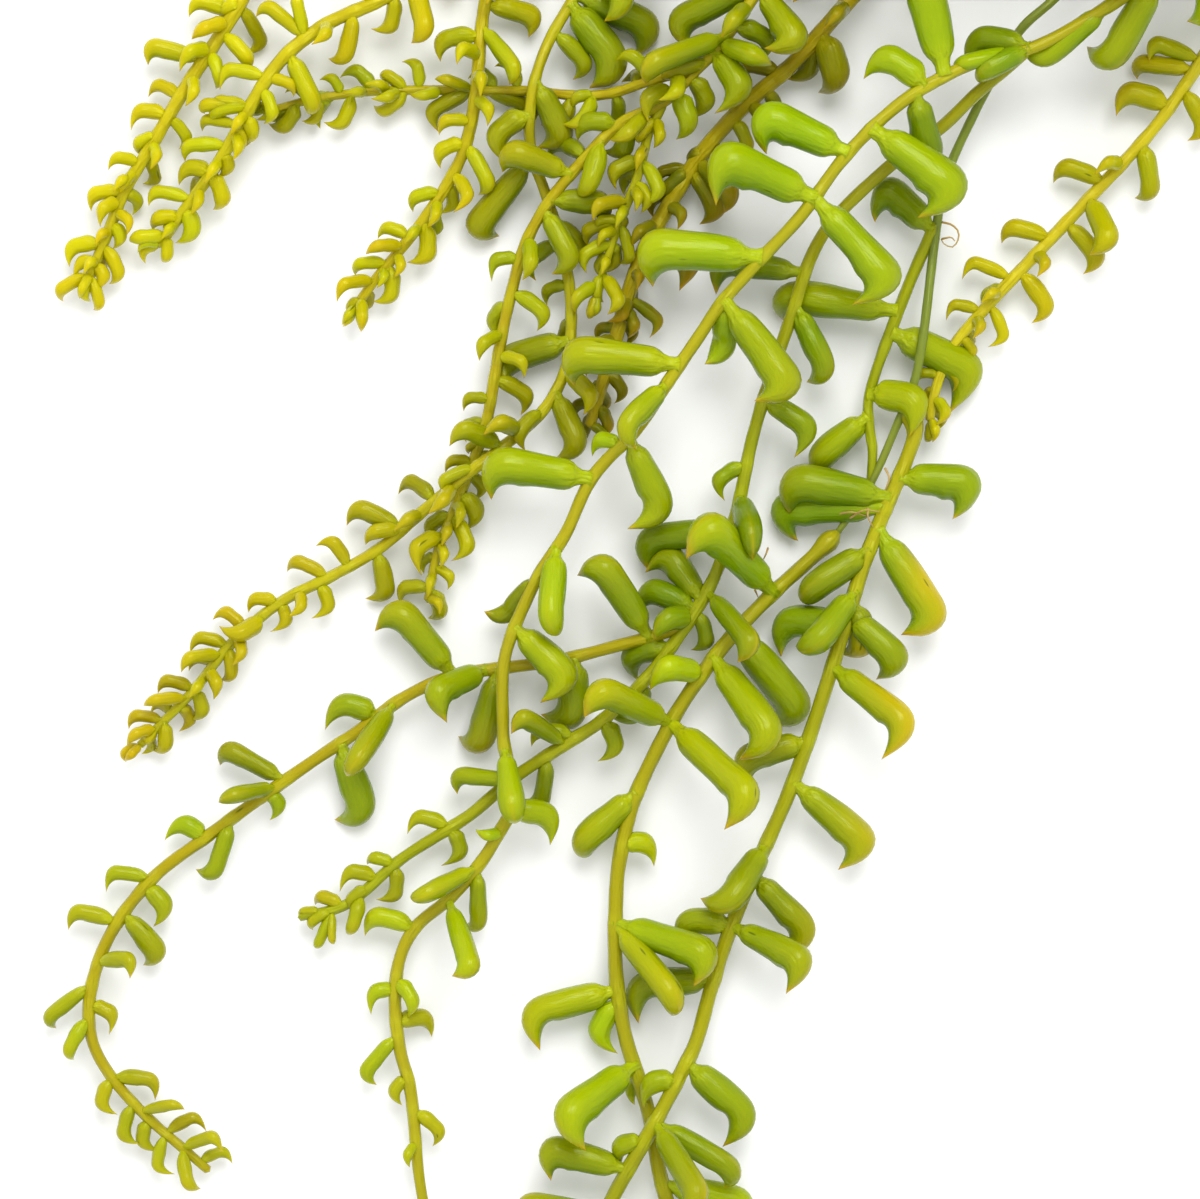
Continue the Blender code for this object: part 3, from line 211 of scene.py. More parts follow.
strands["strand_2"] = {"overRim": 218, "hole": 33, "shoots": [{
    "leaf": "#cac60a", "stem": "#cfc01a", "stemMm": 1.22, "sickle": 0.8, "blush": 0.25,
    "route": [
        (680, -260, 6.5), (560, -160), (460, -70, 7), (415, -22, 8.5), (380, 0, 9), (325, 25, 9),
        (283, 58, 9.5), (255, 98, 9), (235, 135), (210, 175, 7), (183, 212), (160, 245, 5),
    ], "leaves": [
        (415, -12, 425, 28), (352, 15, 348, 50), (300, 28, 270, 8), (260, 75, 235, 68), (295, 55, 308, 90),
        (245, 105, 222, 108), (215, 143, 190, 142), (182, 190, 160, 188), (225, 150, 228, 165),
        (212, 175, 225, 192), (185, 212, 197, 228), (168, 235, 170, 250),
    ], "shapes": {
        0: (11.5, 407, 37, 424, 24), 1: (9.5, 327, 60, 345, 54), 2: (8, 256, 17), 3: (8, 212, 92, 230, 70),
        4: (11, 310, 121, 311, 98), 5: (9, 213, 124, 218, 110), 6: (8, 175, 161, 190, 146),
        7: (7.5, 152, 207, 157, 192), 8: (8, 216, 176), 9: (10, 210, 205, 222, 196),
        10: (10.5, 173, 238, 192, 229), 11: (7.5, 160, 263, 167, 254),
    }, "finer": [
        (228, 122, 207, 120, 6.5, 193, 126), (208, 165, 190, 168, 9.5, 177, 185),
        (180, 215, 160, 218, 9, 146, 232), (150, 225, 140, 237, 8.5, 128, 247),
        (160, 228, 156, 238, 6.5, 147, 240), (200, 85, 206, 105, 7.5, 209, 113),
        (240, 110, 252, 130, 9, 246, 143), (235, 120, 240, 142, 8.5, 232, 156),
        (262, 86, 272, 112, 7.5, 262, 122), (265, 72, 290, 84, 7, 296, 98), (238, 106, 220, 101, 7, 208, 108),
        (303, 27, 297, 2, 7.5),
    ],
}]}
strands["strand_3"] = {"overRim": 231, "hole": 24, "shoots": [{
    "leaf": "#c0be0a", "stem": "#c4b018", "stemMm": 1.11, "sickle": 0.8, "blush": 0.3,
    "route": [
        (760, -215, 6.5), (640, -150), (550, -90), (505, -45), (486, 0, 6), (479, 60, 8), (476, 95, 9.5),
        (464, 150, 7.5), (445, 188, 6), (422, 222), (395, 256), (375, 280), (355, 308, 5),
    ], "leaves": [
        (492, 3, 530, 15), (476, 40, 445, 40), (485, 22, 512, 65), (463, 147, 442, 150), (472, 148, 490, 180),
        (442, 188, 415, 195), (458, 175, 467, 195), (408, 232, 388, 228), (402, 240, 378, 243),
        (423, 225, 430, 252), (382, 263, 360, 262), (390, 265, 392, 292), (372, 278, 345, 282),
        (362, 295, 352, 308), (360, 298, 366, 315),
    ], "shapes": {
        0: (11.5, 525, 37), 1: (10.5, 446, 61), 2: (9.5, 504, 82), 3: (9, 438, 169),
        4: (9, 477, 193, 487, 181), 5: (8, 409, 212, 416, 197), 6: (8, 453, 214), 7: (7.5, 376, 238),
        8: (7.5, 368, 258, 378, 246), 9: (10, 407, 266, 427, 253), 10: (7.5, 352, 275, 360, 264),
        11: (9, 373, 310, 391, 294), 12: (7.5, 331, 303, 345, 284), 13: (7, 344, 321, 352, 306),
        14: (7.5, 354, 333, 362, 318),
    },
}]}
strands["strand_4"] = {"overRim": 243, "hole": 33, "shoots": [{
    "leaf": "#aaad08", "young": "#c8b80a", "stem": "#c8ba18", "stemMm": 1.0, "sickle": 0.7, "blush": 0.35,
    "route": [
        (840, -180, 6.5), (730, -125), (640, -75), (600, -38), (573, 0, 6.5), (545, 50, 8), (531, 100, 9.5),
        (531, 150, 7), (546, 195, 5.5), (563, 250, 5.5), (571, 310, 6), (566, 368, 6), (542, 412, 7),
        (505, 445, 8), (475, 468, 9.5), (430, 505, 7), (380, 548, 5.5), (330, 577), (281, 602), (230, 645),
        (194, 690), (160, 725), (140, 745, 5),
    ], "leaves": [
        (575, 5, 606, 48), (555, 30, 583, 62, -15), (580, -8, 640, 22, -15), (537, 85, 560, 130, -15),
        (528, 118, 500, 128), (531, 160, 485, 215, -10), (562, 285, 548, 290, -15), (568, 345, 512, 358),
        (560, 402, 575, 440), (540, 412, 520, 432), (505, 443, 466, 430), (475, 472, 445, 480),
        (400, 522, 362, 510), (395, 530, 375, 532, 20), (378, 555, 385, 590), (330, 572, 300, 560),
        (322, 583, 328, 605), (280, 600, 255, 595), (278, 605, 288, 618), (262, 618, 245, 630),
        (222, 643, 200, 638), (215, 655, 190, 658), (230, 648, 236, 672), (187, 680, 168, 678),
        (208, 668, 217, 683), (178, 697, 158, 697), (198, 690, 205, 708), (155, 715, 138, 712),
        (183, 703, 190, 718), (152, 728, 135, 730), (162, 722, 170, 742),
    ], "shapes": {
        0: (18, 590, 89, 609, 54), 1: (10, 575, 80), 3: (14,), 4: (13.5, 497, 170, 499, 134),
        5: (14.5, 498, 237, 479, 223), 8: (13,), 11: (7, 435, 501), 15: (8, 285, 571, 298, 562),
        16: (8, 305, 616), 17: (7.5, 239, 611, 256, 599), 18: (7.5, 268, 629, 286, 619),
        19: (10.5, 226, 645, 240, 633), 20: (7.5, 190, 654), 21: (7.5, 177, 673), 22: (8, 220, 683, 231, 673),
        23: (7.5, 158, 694, 167, 681), 24: (8, 208, 696, 216, 683), 25: (7.5, 143, 711, 156, 700),
        26: (8.5, 190, 720, 202, 709), 27: (7, 127, 729, 136, 716), 28: (7.5, 174, 728),
        29: (7, 120, 747, 136, 734), 30: (9, 152, 752, 165, 744),
    }, "finer": [
        (158, 726, 149, 738, 6.5, 140, 742),
    ],
}]}
strands["strand_5"] = {"overRim": 254, "hole": 24, "shoots": [{
    "leaf": "#a4ae08", "young": "#c0bb0a", "stem": "#c0aa14", "stemMm": 1.02, "sickle": 0.7, "blush": 0.25,
    "route": [
        (940, -150, 7), (860, -100), (790, -50), (752, 0, 14), (718, 48, 12.5), (700, 66, 12),
        (662, 103, 11.5), (620, 124, 10.5), (580, 164), (548, 203, 10), (525, 245), (512, 290, 8), (502, 335),
        (494, 380), (487, 420, 6.5), (474, 460, 5), (458, 500), (448, 525), (438, 550), (428, 600, 5),
    ], "leaves": [
        (765, -20, 685, 18, -15), (720, 30, 657, 62), (708, 58, 675, 70, 20), (738, 25, 765, 38, -15),
        (730, 45, 752, 55), (715, 58, 738, 85, 15), (695, 78, 705, 100, -20), (672, 95, 688, 120),
        (668, 88, 650, 98), (760, -12, 795, 38), (612, 128, 588, 122), (625, 122, 620, 150, -20),
        (598, 145, 592, 180, 15), (572, 170, 520, 153), (556, 205, 598, 203, -15), (549, 212, 568, 255),
        (517, 262, 497, 260), (514, 287, 542, 312), (508, 308, 490, 320), (497, 378, 525, 395, -15),
        (492, 398, 470, 398), (482, 440, 470, 447), (462, 490, 475, 510), (455, 515, 467, 545),
        (447, 510, 432, 525), (440, 540, 418, 548), (425, 590, 405, 588), (428, 590, 440, 610),
    ], "shapes": {
        0: (15,), 1: (13,), 2: (11, 662, 87), 3: (11,), 4: (12, 758, 70), 5: (15, 713, 112), 6: (11,),
        7: (12, 675, 139), 8: (11,), 9: (15, 760, 50), 10: (11, 572, 140), 11: (11, 608, 164, 623, 148),
        12: (12, 571, 193, 590, 181), 13: (14, 506, 173, 517, 153), 14: (13,), 16: (8, 490, 284),
        18: (9, 489, 344, 494, 320), 22: (11, 462, 526), 23: (9, 454, 567), 24: (9,), 25: (10, 417, 582),
        26: (8,), 27: (9, 436, 624),
    },
}, {
    "leaf": "#babc0a", "stem": "#c6ac12", "stemMm": 0.9, "sickle": 0.8, "blush": 0.35,
    "off": 0, "route": [
        (700, 66), (668, 76, 12), (640, 84), (617, 92, 8), (590, 96), (558, 94), (531, 91, 5), (490, 91, 4.5),
        (430, 90), (365, 92), (310, 100), (265, 112, 4.5),
    ], "leaves": [
        (468, 88, 445, 80), (470, 100, 435, 110), (405, 88, 388, 72), (402, 95, 385, 112), (375, 90, 358, 68),
        (354, 98, 345, 125), (335, 98, 318, 105), (300, 100, 285, 125),
    ], "shapes": {
        0: (7, 430, 83, 447, 80), 1: (9, 436, 134), 2: (7.5, 371, 71, 388, 76), 3: (8, 364, 113, 386, 110),
        4: (8, 338, 76, 357, 71), 5: (8.5, 322, 126, 342, 122), 6: (11, 307, 112), 7: (9, 264, 129),
    }, "finer": [
        (595, 94, 578, 97, 7, 560, 98), (488, 91, 522, 104, 9, 530, 125),
    ],
}, {
    "leaf": "#b4b20a", "stem": "#bab416", "stemMm": 0.9, "sickle": 0.8, "blush": 0.3,
    "off": 0, "route": [
        (662, 103), (650, 130, 10), (638, 175, 9), (615, 235, 8), (596, 295, 7.5),
    ], "leaves": [
        (645, 165, 615, 165), (628, 200, 600, 205), (650, 165, 658, 190), (610, 245, 585, 255),
        (603, 275, 618, 300), (600, 280, 578, 297), (612, 240, 615, 260),
    ], "shapes": {
        0: (9, 608, 193, 616, 170), 1: (8, 590, 222), 2: (8.5, 643, 215), 3: (8, 575, 279), 4: (8,), 5: (8,),
        6: (8, 614, 281),
    }, "finer": [
        (608, 222, 589, 230, 8, 586, 247), (656, 115, 642, 132, 8, 637, 152),
        (622, 210, 618, 230, 6.5, 612, 245), (624, 224, 629, 256, 7, 622, 271),
        (602, 274, 597, 292, 7, 592, 303),
    ],
}]}
strands["strand_6"] = {"overRim": 265, "hole": 33, "shoots": [{
    "leaf": "#8c8c08", "stem": "#b09c10", "stemMm": 1.4, "sickle": 0.8, "blush": 0.5,
    "route": [
        (1030, -130, 7), (950, -85), (890, -40), (850, 0, 9), (790, 66, 8), (745, 105, 7), (703, 152, 5.5),
        (670, 203), (642, 255), (625, 305), (610, 360), (602, 385), (590, 425, 5),
    ], "leaves": [
        (822, 40, 835, 72), (815, 45, 808, 70), (690, 170, 662, 172), (697, 175, 715, 205),
        (705, 165, 728, 190), (655, 245, 688, 258), (635, 298, 657, 320), (628, 300, 622, 315),
        (610, 372, 622, 390), (605, 380, 593, 390), (598, 400, 578, 405), (598, 405, 608, 425),
        (592, 415, 585, 430),
    ], "shapes": {
        0: (16, 820, 92), 1: (11, 798, 92), 2: (7, 658, 189), 3: (12, 698, 222), 4: (11, 719, 211),
        5: (13, 679, 291), 6: (7, 648, 339),
    }, "finer": [
        (704, 150, 694, 156, 8, 682, 166), (690, 175, 668, 188, 9, 662, 205),
    ],
}]}
strands["strand_7"] = {"overRim": 277, "hole": 24, "shoots": [{
    "leaf": "#6d7d22", "stem": "#8a9a40", "stemMm": 0.85, "sickle": 0.5, "brown": 0.2,
    "cadRadius": 0.0009, "route": [
        (1150, -130, 8), (1105, -70), (1075, -25), (1053, 0, 12.5), (1022, 28, 12), (1000, 65, 9.5),
        (976, 110, 8), (945, 180), (938, 217, 7), (933, 255), (922, 344, 9), (914, 383), (897, 425, 7),
        (870, 485), (838, 532, 6),
    ], "leaves": [],
}, {
    "leaf": "#b2c206", "stem": "#b4ac14", "stemMm": 1.32, "sickle": 0.6, "blush": 0.3, "knuckle": 0.42,
    "off": 0, "vigour": 1.7, "route": [
        (838, 532), (815, 555, 6.5), (770, 596, 7), (720, 650, 8), (680, 707), (666, 732, 8), (640, 785),
        (630, 812, 7), (618, 870), (616, 900, 6.5), (616, 975), (625, 1035), (642, 1090), (650, 1118, 5.5),
        (660, 1175), (675, 1230, 6), (690, 1290), (715, 1350), (745, 1400, 5),
    ], "leaves": [
        (768, 590, 712, 530), (702, 672, 670, 668), (720, 660, 765, 728), (738, 640, 792, 700, -20),
        (665, 724, 607, 693), (678, 728, 742, 790), (632, 797, 590, 835), (622, 850, 640, 850, -15),
        (622, 925, 668, 990, 25), (622, 922, 700, 952), (612, 990, 542, 1010), (615, 1000, 600, 1030, -15),
        (631, 1063, 573, 1112), (636, 1072, 631, 1092), (664, 1180, 735, 1200),
    ], "shapes": {
        0: (19, 686, 559), 1: (14,), 2: (18, 739, 760), 3: (19,), 4: (16,), 5: (17.5, 724, 830),
        6: (16, 574, 872), 7: (12, 634, 883, 643, 843), 8: (15, 665, 1022), 9: (17,), 10: (16, 539, 1051),
        11: (13, 612, 1063), 12: (18.5, 586, 1151), 13: (6.5, 627, 1112), 14: (15,),
    },
}, {
    "leaf": "#aabc06", "stem": "#aab012", "stemMm": 1.12, "sickle": 0.6, "blush": 0.2,
    "off": 0, "beyond": (870, 492, 6), "route": [
        (932, 222), (915, 270, 7), (895, 320), (875, 375, 6.5), (868, 405), (874, 460, 6),
    ], "leaves": [
        (925, 230, 890, 190), (893, 305, 805, 298, -10), (890, 328, 962, 365), (870, 390, 912, 400, 20),
        (861, 412, 838, 435, -10),
    ], "shapes": {
        0: (16, 898, 258), 1: (18, 779, 315, 798, 298), 2: (18.5, 949, 414), 3: (17, 898, 446),
        4: (16, 812, 480, 826, 452),
    }, "lifts": {2: -20},
}, {
    "leaf": "#a0b00a", "stem": "#b0ae14", "stemMm": 1.32, "sickle": 0.8, "blush": 0.8, "knuckle": 0.42,
    "off": 0, "vigour": 1.7, "route": [
        (908, 405), (915, 430, 8), (907, 458), (884, 512, 8.5), (862, 570, 9), (836, 655, 9), (810, 735, 8),
        (788, 795), (757, 865, 7), (730, 930), (712, 985, 7), (695, 1045, 8), (680, 1075), (662, 1110, 9.5),
        (645, 1140, 10), (612, 1199, 7), (585, 1255, 6), (565, 1320), (562, 1385), (575, 1440, 5),
    ], "leaves": [
        (905, 478, 965, 482), (882, 492, 803, 482), (878, 505, 785, 508, -20), (880, 533, 930, 610),
        (872, 548, 820, 583), (852, 592, 822, 635, 25), (850, 610, 893, 655), (855, 600, 862, 640, -15),
        (845, 625, 795, 622), (838, 670, 898, 718), (808, 738, 752, 757), (802, 788, 860, 838),
        (766, 846, 733, 895, 25), (758, 878, 800, 925), (736, 928, 797, 958), (735, 925, 692, 922),
        (712, 982, 648, 985, -15), (694, 1062, 738, 1108), (680, 1080, 655, 1082), (662, 1125, 725, 1165),
        (658, 1130, 695, 1190), (625, 1163, 555, 1150), (648, 1142, 622, 1146, -15), (600, 1215, 535, 1205),
    ], "shapes": {
        0: (18, 952, 522), 1: (19, 790, 517), 2: (17, 807, 541), 3: (18, 901, 635), 4: (16.5, 806, 611),
        5: (16, 811, 665), 6: (15.5, 876, 679), 7: (15, 857, 670), 8: (17, 754, 642), 9: (16, 882, 760),
        10: (15,), 11: (16.5, 838, 870), 12: (16, 716, 927), 13: (15, 780, 960), 14: (15, 786, 994),
        15: (14.5,), 16: (16, 635, 1024), 17: (16.5, 727, 1151), 18: (13,), 19: (13.5, 725, 1191), 20: (14,),
        21: (15.5, 551, 1181), 22: (11,), 23: (14,),
    }, "blushes": {
        0: 0.08, 1: 0.3, 2: 0.1, 3: 1.3, 4: 0.1, 5: 0.15, 6: 0.15, 8: 0.1, 9: 1.0, 10: 0.2, 11: 0.7, 12: 0.2,
        13: 0.6, 14: 0.3, 15: 0.1, 16: 0.12, 17: 0.2, 18: 0.2, 19: 0.2, 21: 0.15, 22: 0.15,
    },
}]}
strands["strand_8"] = {"overRim": 289, "hole": 33, "shoots": [{
    "leaf": "#b0c406", "young": "#b6b008", "crown": "#a8c008", "stem": "#bcb01a", "stemMm": 1.13,
    "sickle": 0.25, "blush": 0.25,
    "arch": True, "route": [
        (1238, -285, 50), (1248, -215, 34), (1235, -140, 27), (1205, -75, 24), (1165, -28, 22), (1119, 0, 21),
        (1037, 46, 20), (979, 61), (943, 77, 22), (902, 102), (848, 153), (800, 217, 22), (758, 262),
        (720, 305, 20), (700, 335), (668, 382, 18), (640, 425), (592, 478, 14), (565, 535), (540, 573, 12),
        (522, 610), (508, 645), (503, 670, 12), (503, 725), (504, 745, 11), (510, 770), (515, 800, 11),
        (499, 833), (482, 861, 8), (451, 897, 6.5), (415, 928, 6), (400, 958), (395, 1000), (400, 1050),
        (410, 1088), (420, 1183), (432, 1240), (450, 1295, 5),
    ], "leaves": [
        (1160, -20, 1122, 48, -15), (1105, 8, 1058, 48, -15), (938, 70, 922, -22), (922, 90, 892, 60),
        (880, 130, 950, 185), (919, 98, 928, 150, -25), (845, 147, 770, 118), (812, 190, 730, 160),
        (826, 200, 885, 275), (758, 258, 662, 248), (733, 305, 785, 380), (678, 360, 590, 352),
        (732, 310, 724, 342), (667, 384, 637, 415, 30), (592, 482, 505, 465), (627, 441, 657, 500, -15),
        (617, 448, 602, 440, -15), (556, 553, 551, 610), (518, 625, 562, 672), (535, 580, 508, 612),
        (503, 748, 512, 805, 30), (500, 782, 463, 776), (505, 815, 545, 815, -15), (498, 830, 488, 835),
        (472, 870, 425, 893), (478, 872, 478, 920), (450, 905, 470, 965), (408, 928, 378, 917),
        (388, 995, 376, 992), (396, 985, 412, 1000), (398, 1020, 423, 1018), (393, 1040, 368, 1070),
        (402, 1080, 395, 1090), (416, 1110, 438, 1130), (418, 1140, 408, 1155),
    ], "shapes": {
        0: (17, 1094, 64, 1116, 50), 1: (13, 1032, 65, 1048, 54), 2: (20,), 3: (16, 865, 79),
        4: (20.5, 917, 218), 5: (15.5,), 6: (19, 768, 155), 7: (20.5, 716, 206), 8: (18, 852, 305),
        9: (21, 653, 286), 10: (18, 754, 401), 11: (18.5, 574, 386, 583, 354), 12: (14, 718, 380),
        13: (13, 610, 442, 630, 422), 14: (18.5, 492, 500), 15: (16, 628, 531), 16: (9,), 17: (15, 538, 642),
        18: (16, 540, 703), 19: (11, 484, 632), 20: (13.5,), 21: (9.5, 447, 788), 22: (14, 535, 846),
        23: (7, 481, 840), 24: (10.5, 421, 905, 428, 893), 25: (9.5, 466, 930), 26: (11.5, 450, 972),
        27: (11,), 28: (9, 372, 1015), 29: (9,), 30: (10, 419, 1045), 31: (8.5, 371, 1092), 32: (8,),
    }, "finer": [
        (1012, 46, 968, 62, 10, 952, 74, 10),
    ], "lifts": {12: -40},
}, {
    "leaf": "#8ca406", "young": "#b2b208", "stem": "#aaae12", "stemMm": 1.15, "sickle": 0.5, "blush": 0.3,
    "off": 0, "route": [
        (1030, 48), (1002, 72, 17), (975, 95, 14), (943, 126, 12), (885, 170, 11), (832, 222), (812, 255, 11),
        (790, 320, 10), (768, 385), (752, 440), (740, 498), (733, 525, 8), (712, 582), (683, 630),
        (645, 680, 8), (600, 722), (572, 740, 7), (545, 757), (515, 777, 5.5), (470, 815), (450, 828, 6),
        (400, 860), (345, 905), (300, 917, 5),
    ], "leaves": [
        (1030, 42, 985, 40, -20), (794, 305, 822, 362), (803, 270, 728, 262, -15), (765, 400, 803, 425),
        (742, 465, 720, 480), (742, 497, 750, 530), (735, 528, 657, 538), (708, 600, 672, 560, -15),
        (690, 610, 655, 592, -15), (690, 622, 668, 620), (712, 597, 748, 640), (700, 612, 706, 640, -15),
        (668, 652, 635, 655), (642, 684, 633, 712), (603, 727, 615, 745), (575, 742, 542, 730),
        (560, 740, 525, 718), (545, 762, 541, 800), (448, 822, 420, 817), (452, 826, 463, 842),
    ], "shapes": {
        0: (15, 955, 62), 1: (13.5, 809, 386), 2: (14, 716, 295), 3: (13, 797, 460), 4: (9, 711, 509),
        5: (14, 739, 555), 6: (15.5, 646, 571), 7: (14,), 8: (14,), 9: (13.5, 678, 632), 10: (12,),
        11: (9, 695, 657), 12: (14, 626, 677), 13: (12, 611, 730), 14: (10, 599, 765), 15: (9, 524, 745),
        16: (10, 511, 734), 17: (9.5,), 18: (8.5, 406, 834), 19: (9, 441, 868, 460, 850),
    }, "finer": [
        (1034, 46, 990, 68, 12.5, 974, 91, 10), (396, 862, 376, 858, 7.5, 367, 866),
        (378, 876, 352, 872, 8.5, 336, 891), (401, 866, 395, 893, 8.5, 376, 905),
        (346, 902, 323, 897, 8, 313, 904), (372, 886, 352, 900, 7.5, 341, 908),
        (362, 902, 353, 925, 8.5, 342, 932), (322, 914, 304, 912, 6, 295, 918),
        (333, 913, 313, 921, 6.5, 303, 926), (334, 920, 319, 942, 6.5, 313, 950),
        (334, 922, 332, 938, 5, 329, 944),
    ], "lifts": {5: 58},
}, {
    "leaf": "#a0b008", "young": "#bab80a", "stem": "#baa80e", "stemMm": 1.12, "sickle": 0.6, "blush": 0.35,
    "off": 1, "route": [
        (690, 620), (672, 630, 8), (620, 645, 7), (560, 660, 6), (503, 668, 5.5), (465, 673, 5.5),
        (440, 680, 6), (400, 700), (357, 732), (319, 757), (255, 802), (205, 838), (153, 878), (110, 935),
        (90, 995), (92, 1040), (110, 1075), (145, 1115), (185, 1150), (208, 1170, 5),
    ], "leaves": [
        (645, 635, 606, 570), (577, 660, 572, 710), (452, 672, 405, 617), (490, 672, 440, 690),
        (497, 685, 482, 735), (365, 712, 345, 705), (390, 705, 360, 755), (338, 748, 360, 802, -10),
        (283, 773, 233, 752), (272, 790, 235, 795), (268, 793, 278, 803, -15), (200, 835, 185, 825),
        (235, 818, 215, 868), (150, 873, 115, 873), (152, 888, 163, 905), (110, 923, 78, 912),
        (135, 918, 155, 950), (102, 963, 128, 960), (90, 985, 52, 1015), (88, 1018, 70, 1048),
        (93, 1010, 110, 1013), (105, 1078, 102, 1102), (112, 1075, 150, 1080), (130, 1105, 124, 1133),
        (150, 1110, 172, 1105), (172, 1122, 193, 1118), (160, 1140, 158, 1165), (182, 1150, 188, 1182),
        (190, 1145, 212, 1137), (205, 1160, 222, 1152),
    ], "shapes": {
        0: (16, 580, 582), 1: (16.5, 541, 717), 2: (16,), 3: (14.5, 447, 723), 4: (15, 458, 739),
        5: (13.5, 322, 729), 6: (13, 334, 772), 7: (16.5, 336, 824), 8: (11, 219, 766), 9: (9.5, 220, 810),
        10: (9, 255, 815), 11: (11, 169, 844), 12: (10, 194, 872), 13: (8, 106, 892), 14: (11, 152, 926),
        15: (9, 72, 931), 16: (12, 140, 964), 17: (9, 124, 984), 18: (8.5, 54, 1030), 19: (8.5, 74, 1065),
        20: (8.5, 109, 1035), 21: (8, 116, 1119), 22: (8.5, 165, 1101), 23: (8, 139, 1147),
        24: (6.5, 184, 1113), 25: (7, 206, 1134), 26: (7, 180, 1177), 27: (8, 204, 1194), 28: (7, 222, 1155),
        29: (6.5, 233, 1164),
    }, "finer": [
        (150, 1120, 143, 1140, 8, 160, 1152),
    ],
}]}
strands["strand_9"] = {"overRim": 303, "hole": 24, "shoots": [{
    "leaf": "#c0ba0a", "stem": "#dfcf28", "stemMm": 1.12, "sickle": 0.8, "blush": 0.35, "brown": 0.25,
    "route": [
        (1350, -180, 6.5), (1310, -90), (1260, -20), (1225, 20), (1200, 62, 6), (1175, 100), (1150, 133),
        (1100, 187), (1040, 250), (990, 303), (950, 352), (933, 400), (930, 420, 5),
    ], "leaves": [
        (1190, 58, 1158, 45), (1185, 66, 1148, 62, -15), (1165, 98, 1130, 90), (1190, 95, 1203, 125),
        (1145, 150, 1153, 185), (1096, 182, 1068, 168), (1072, 222, 1095, 255), (1092, 200, 1107, 235),
        (1050, 232, 1015, 225), (1002, 275, 975, 263), (1028, 272, 1045, 305), (980, 312, 955, 305),
        (990, 312, 1003, 335), (965, 335, 972, 350), (935, 385, 925, 402), (933, 395, 945, 412),
    ], "shapes": {
        0: (9, 1152, 68, 1157, 44), 1: (10, 1133, 72, 1145, 64), 2: (12.5, 1121, 118, 1131, 93),
        4: (11, 1137, 201, 1150, 186), 5: (10.5, 1054, 182), 8: (10, 1003, 243, 1014, 228),
        9: (7.5, 961, 282), 11: (6.5, 944, 325), 12: (7, 984, 353), 13: (6,), 15: (7, 934, 425),
    },
}]}

# Short stems round the crown: direction over the rim, radius of the hole's circle, turn round the pot on
# the way out over the soil, and how far they hang below the rim
sprigs = (
    (330, 20, 30, 44), (357, 14, 34, 66), (25, 22, 36, 30), (52, 13, 34, 52), (80, 23, 36, 24),
    (108, 14, 34, 60), (136, 22, 34, 36), (163, 20, 24, 48), (184, 12, 24, 28),
)
sprigNames = [f"sprig_{index + 1}" for index in range(len(sprigs))]
# The ways from the soil over the rim: radius and height in mm, with a share of the turn first on a sprig
ways = {
    "outOfSoil": ((0, 62), (0, 68), (0.1, 74), (3, 81), (10, 88)),
    "overRim": ((50, 91), (56.5, 86), (59, 74)),
    "downToSurface": ((60, 56), (60.5, 38), (62, 22), (67, 11), (75, 6.5)),
    "sprigWay": ((0, 0, 62), (0, 0, 68), (0, 0.1, 74), (0.12, 3, 80), (0.5, 14, 82)),
    "sprigRim": ((0.85, 43, 87.5), (0.95, 50.5, 89.5), (1, 56, 85), (1, 58.5, 76)),
    "sprigEnd": 59.5, "sprigHang": ((0.35, 2.0), (0.7, -1.0), (1.0, 2.5)),
}

# The photo's view: one pixel is pixelSize wide on the plane planeHeight up
view = {
    "pixelSize": 0.00018, "middle": (600.0, 599.5), "potAxis": (1130.0, -600.0), "height": 0.9,
    "planeHeight": 0.008, "margin": 40.0, "size": 1200.0,
}
photoMiddle = (np.array(view["middle"]) - view["potAxis"]) * view["pixelSize"] * [1, -1]

# Growth, as in the CAD: girth and length of a leaf, gap to the next and lean away from the stem
growth = {
    "girth": 0.00075, "girthPerLength": 0.20,
    "clubShares": (0.0, 0.09, 0.16, 0.2, 0.25, 0.32, 0.45, 0.65, 1.0),
    "clubGirths": (0.32, 0.27, 0.28, 0.42, 0.66, 0.82, 0.9, 0.97, 1.0),
    "beakTurns": (0.0, 30.0, 60.0, 80.0, 95.0), "beakGirths": (1.0, 0.96, 0.78, 0.6, 0.45),
    "crease": 0.2, "tipAlong": 0.56, "tipAcross": 1.75, "largeLeaf": 0.0092, "largeFacet": 1.12,
    "smallFacet": 1.3, "gap": (0.0019, 0.10, 0.0095), "length": (0.0030, 0.045, 0.0140),
    "firstGap": 0.0015, "closeness": 1.2, "insidePot": 0.045, "sizes": (1.0, 0.85, 0.7, 0.55),
    "gapOutOfSight": 0.026, "gapOnSprig": 0.020, "lean": 63.0, "leanSpread": 12.0, "tipLean": 18.0,
    "leanTries": (0.0, -22.0, 18.0), "leanStrain": 0.01, "sideTries": range(-80, 90, 20), "sideStrain": 0.012,
    "onTop": 20.0, "onSide": 75.0, "sideSpread": 18.0, "sizeSpread": (0.85, 1.1), "droop": 0.25,
    "liftTries": range(-40, 45, 5), "liftStrain": 0.04, "rollTries": (0.0, -25.0, 25.0, -50.0, 50.0),
    "rollStrain": 0.015, "halfGap": 0.000175, "surfaceGap": 0.0003, "near": 0.035, "ownReach": (0.45, 0.0015),
    "step": 0.002, "stemRadius": 0.00145, "tipRadius": 0.0009, "tipTaper": 0.060, "sprigVigour": 1.6,
    "steep": (0.5, 0.3), "potWall": (45.4, 50.0, 82.0), "soilTop": 73.5,
}
sphereShares = np.array([0.2, 0.4, 0.6, 0.8, 1.0])
sphereBends = np.array([35.0, 65.0, 92.0])


def unit(vectors):
    return vectors / np.linalg.norm(vectors, axis=-1, keepdims=True)


def steps(points):
    return np.linalg.norm(np.diff(points, axis=0), axis=1)


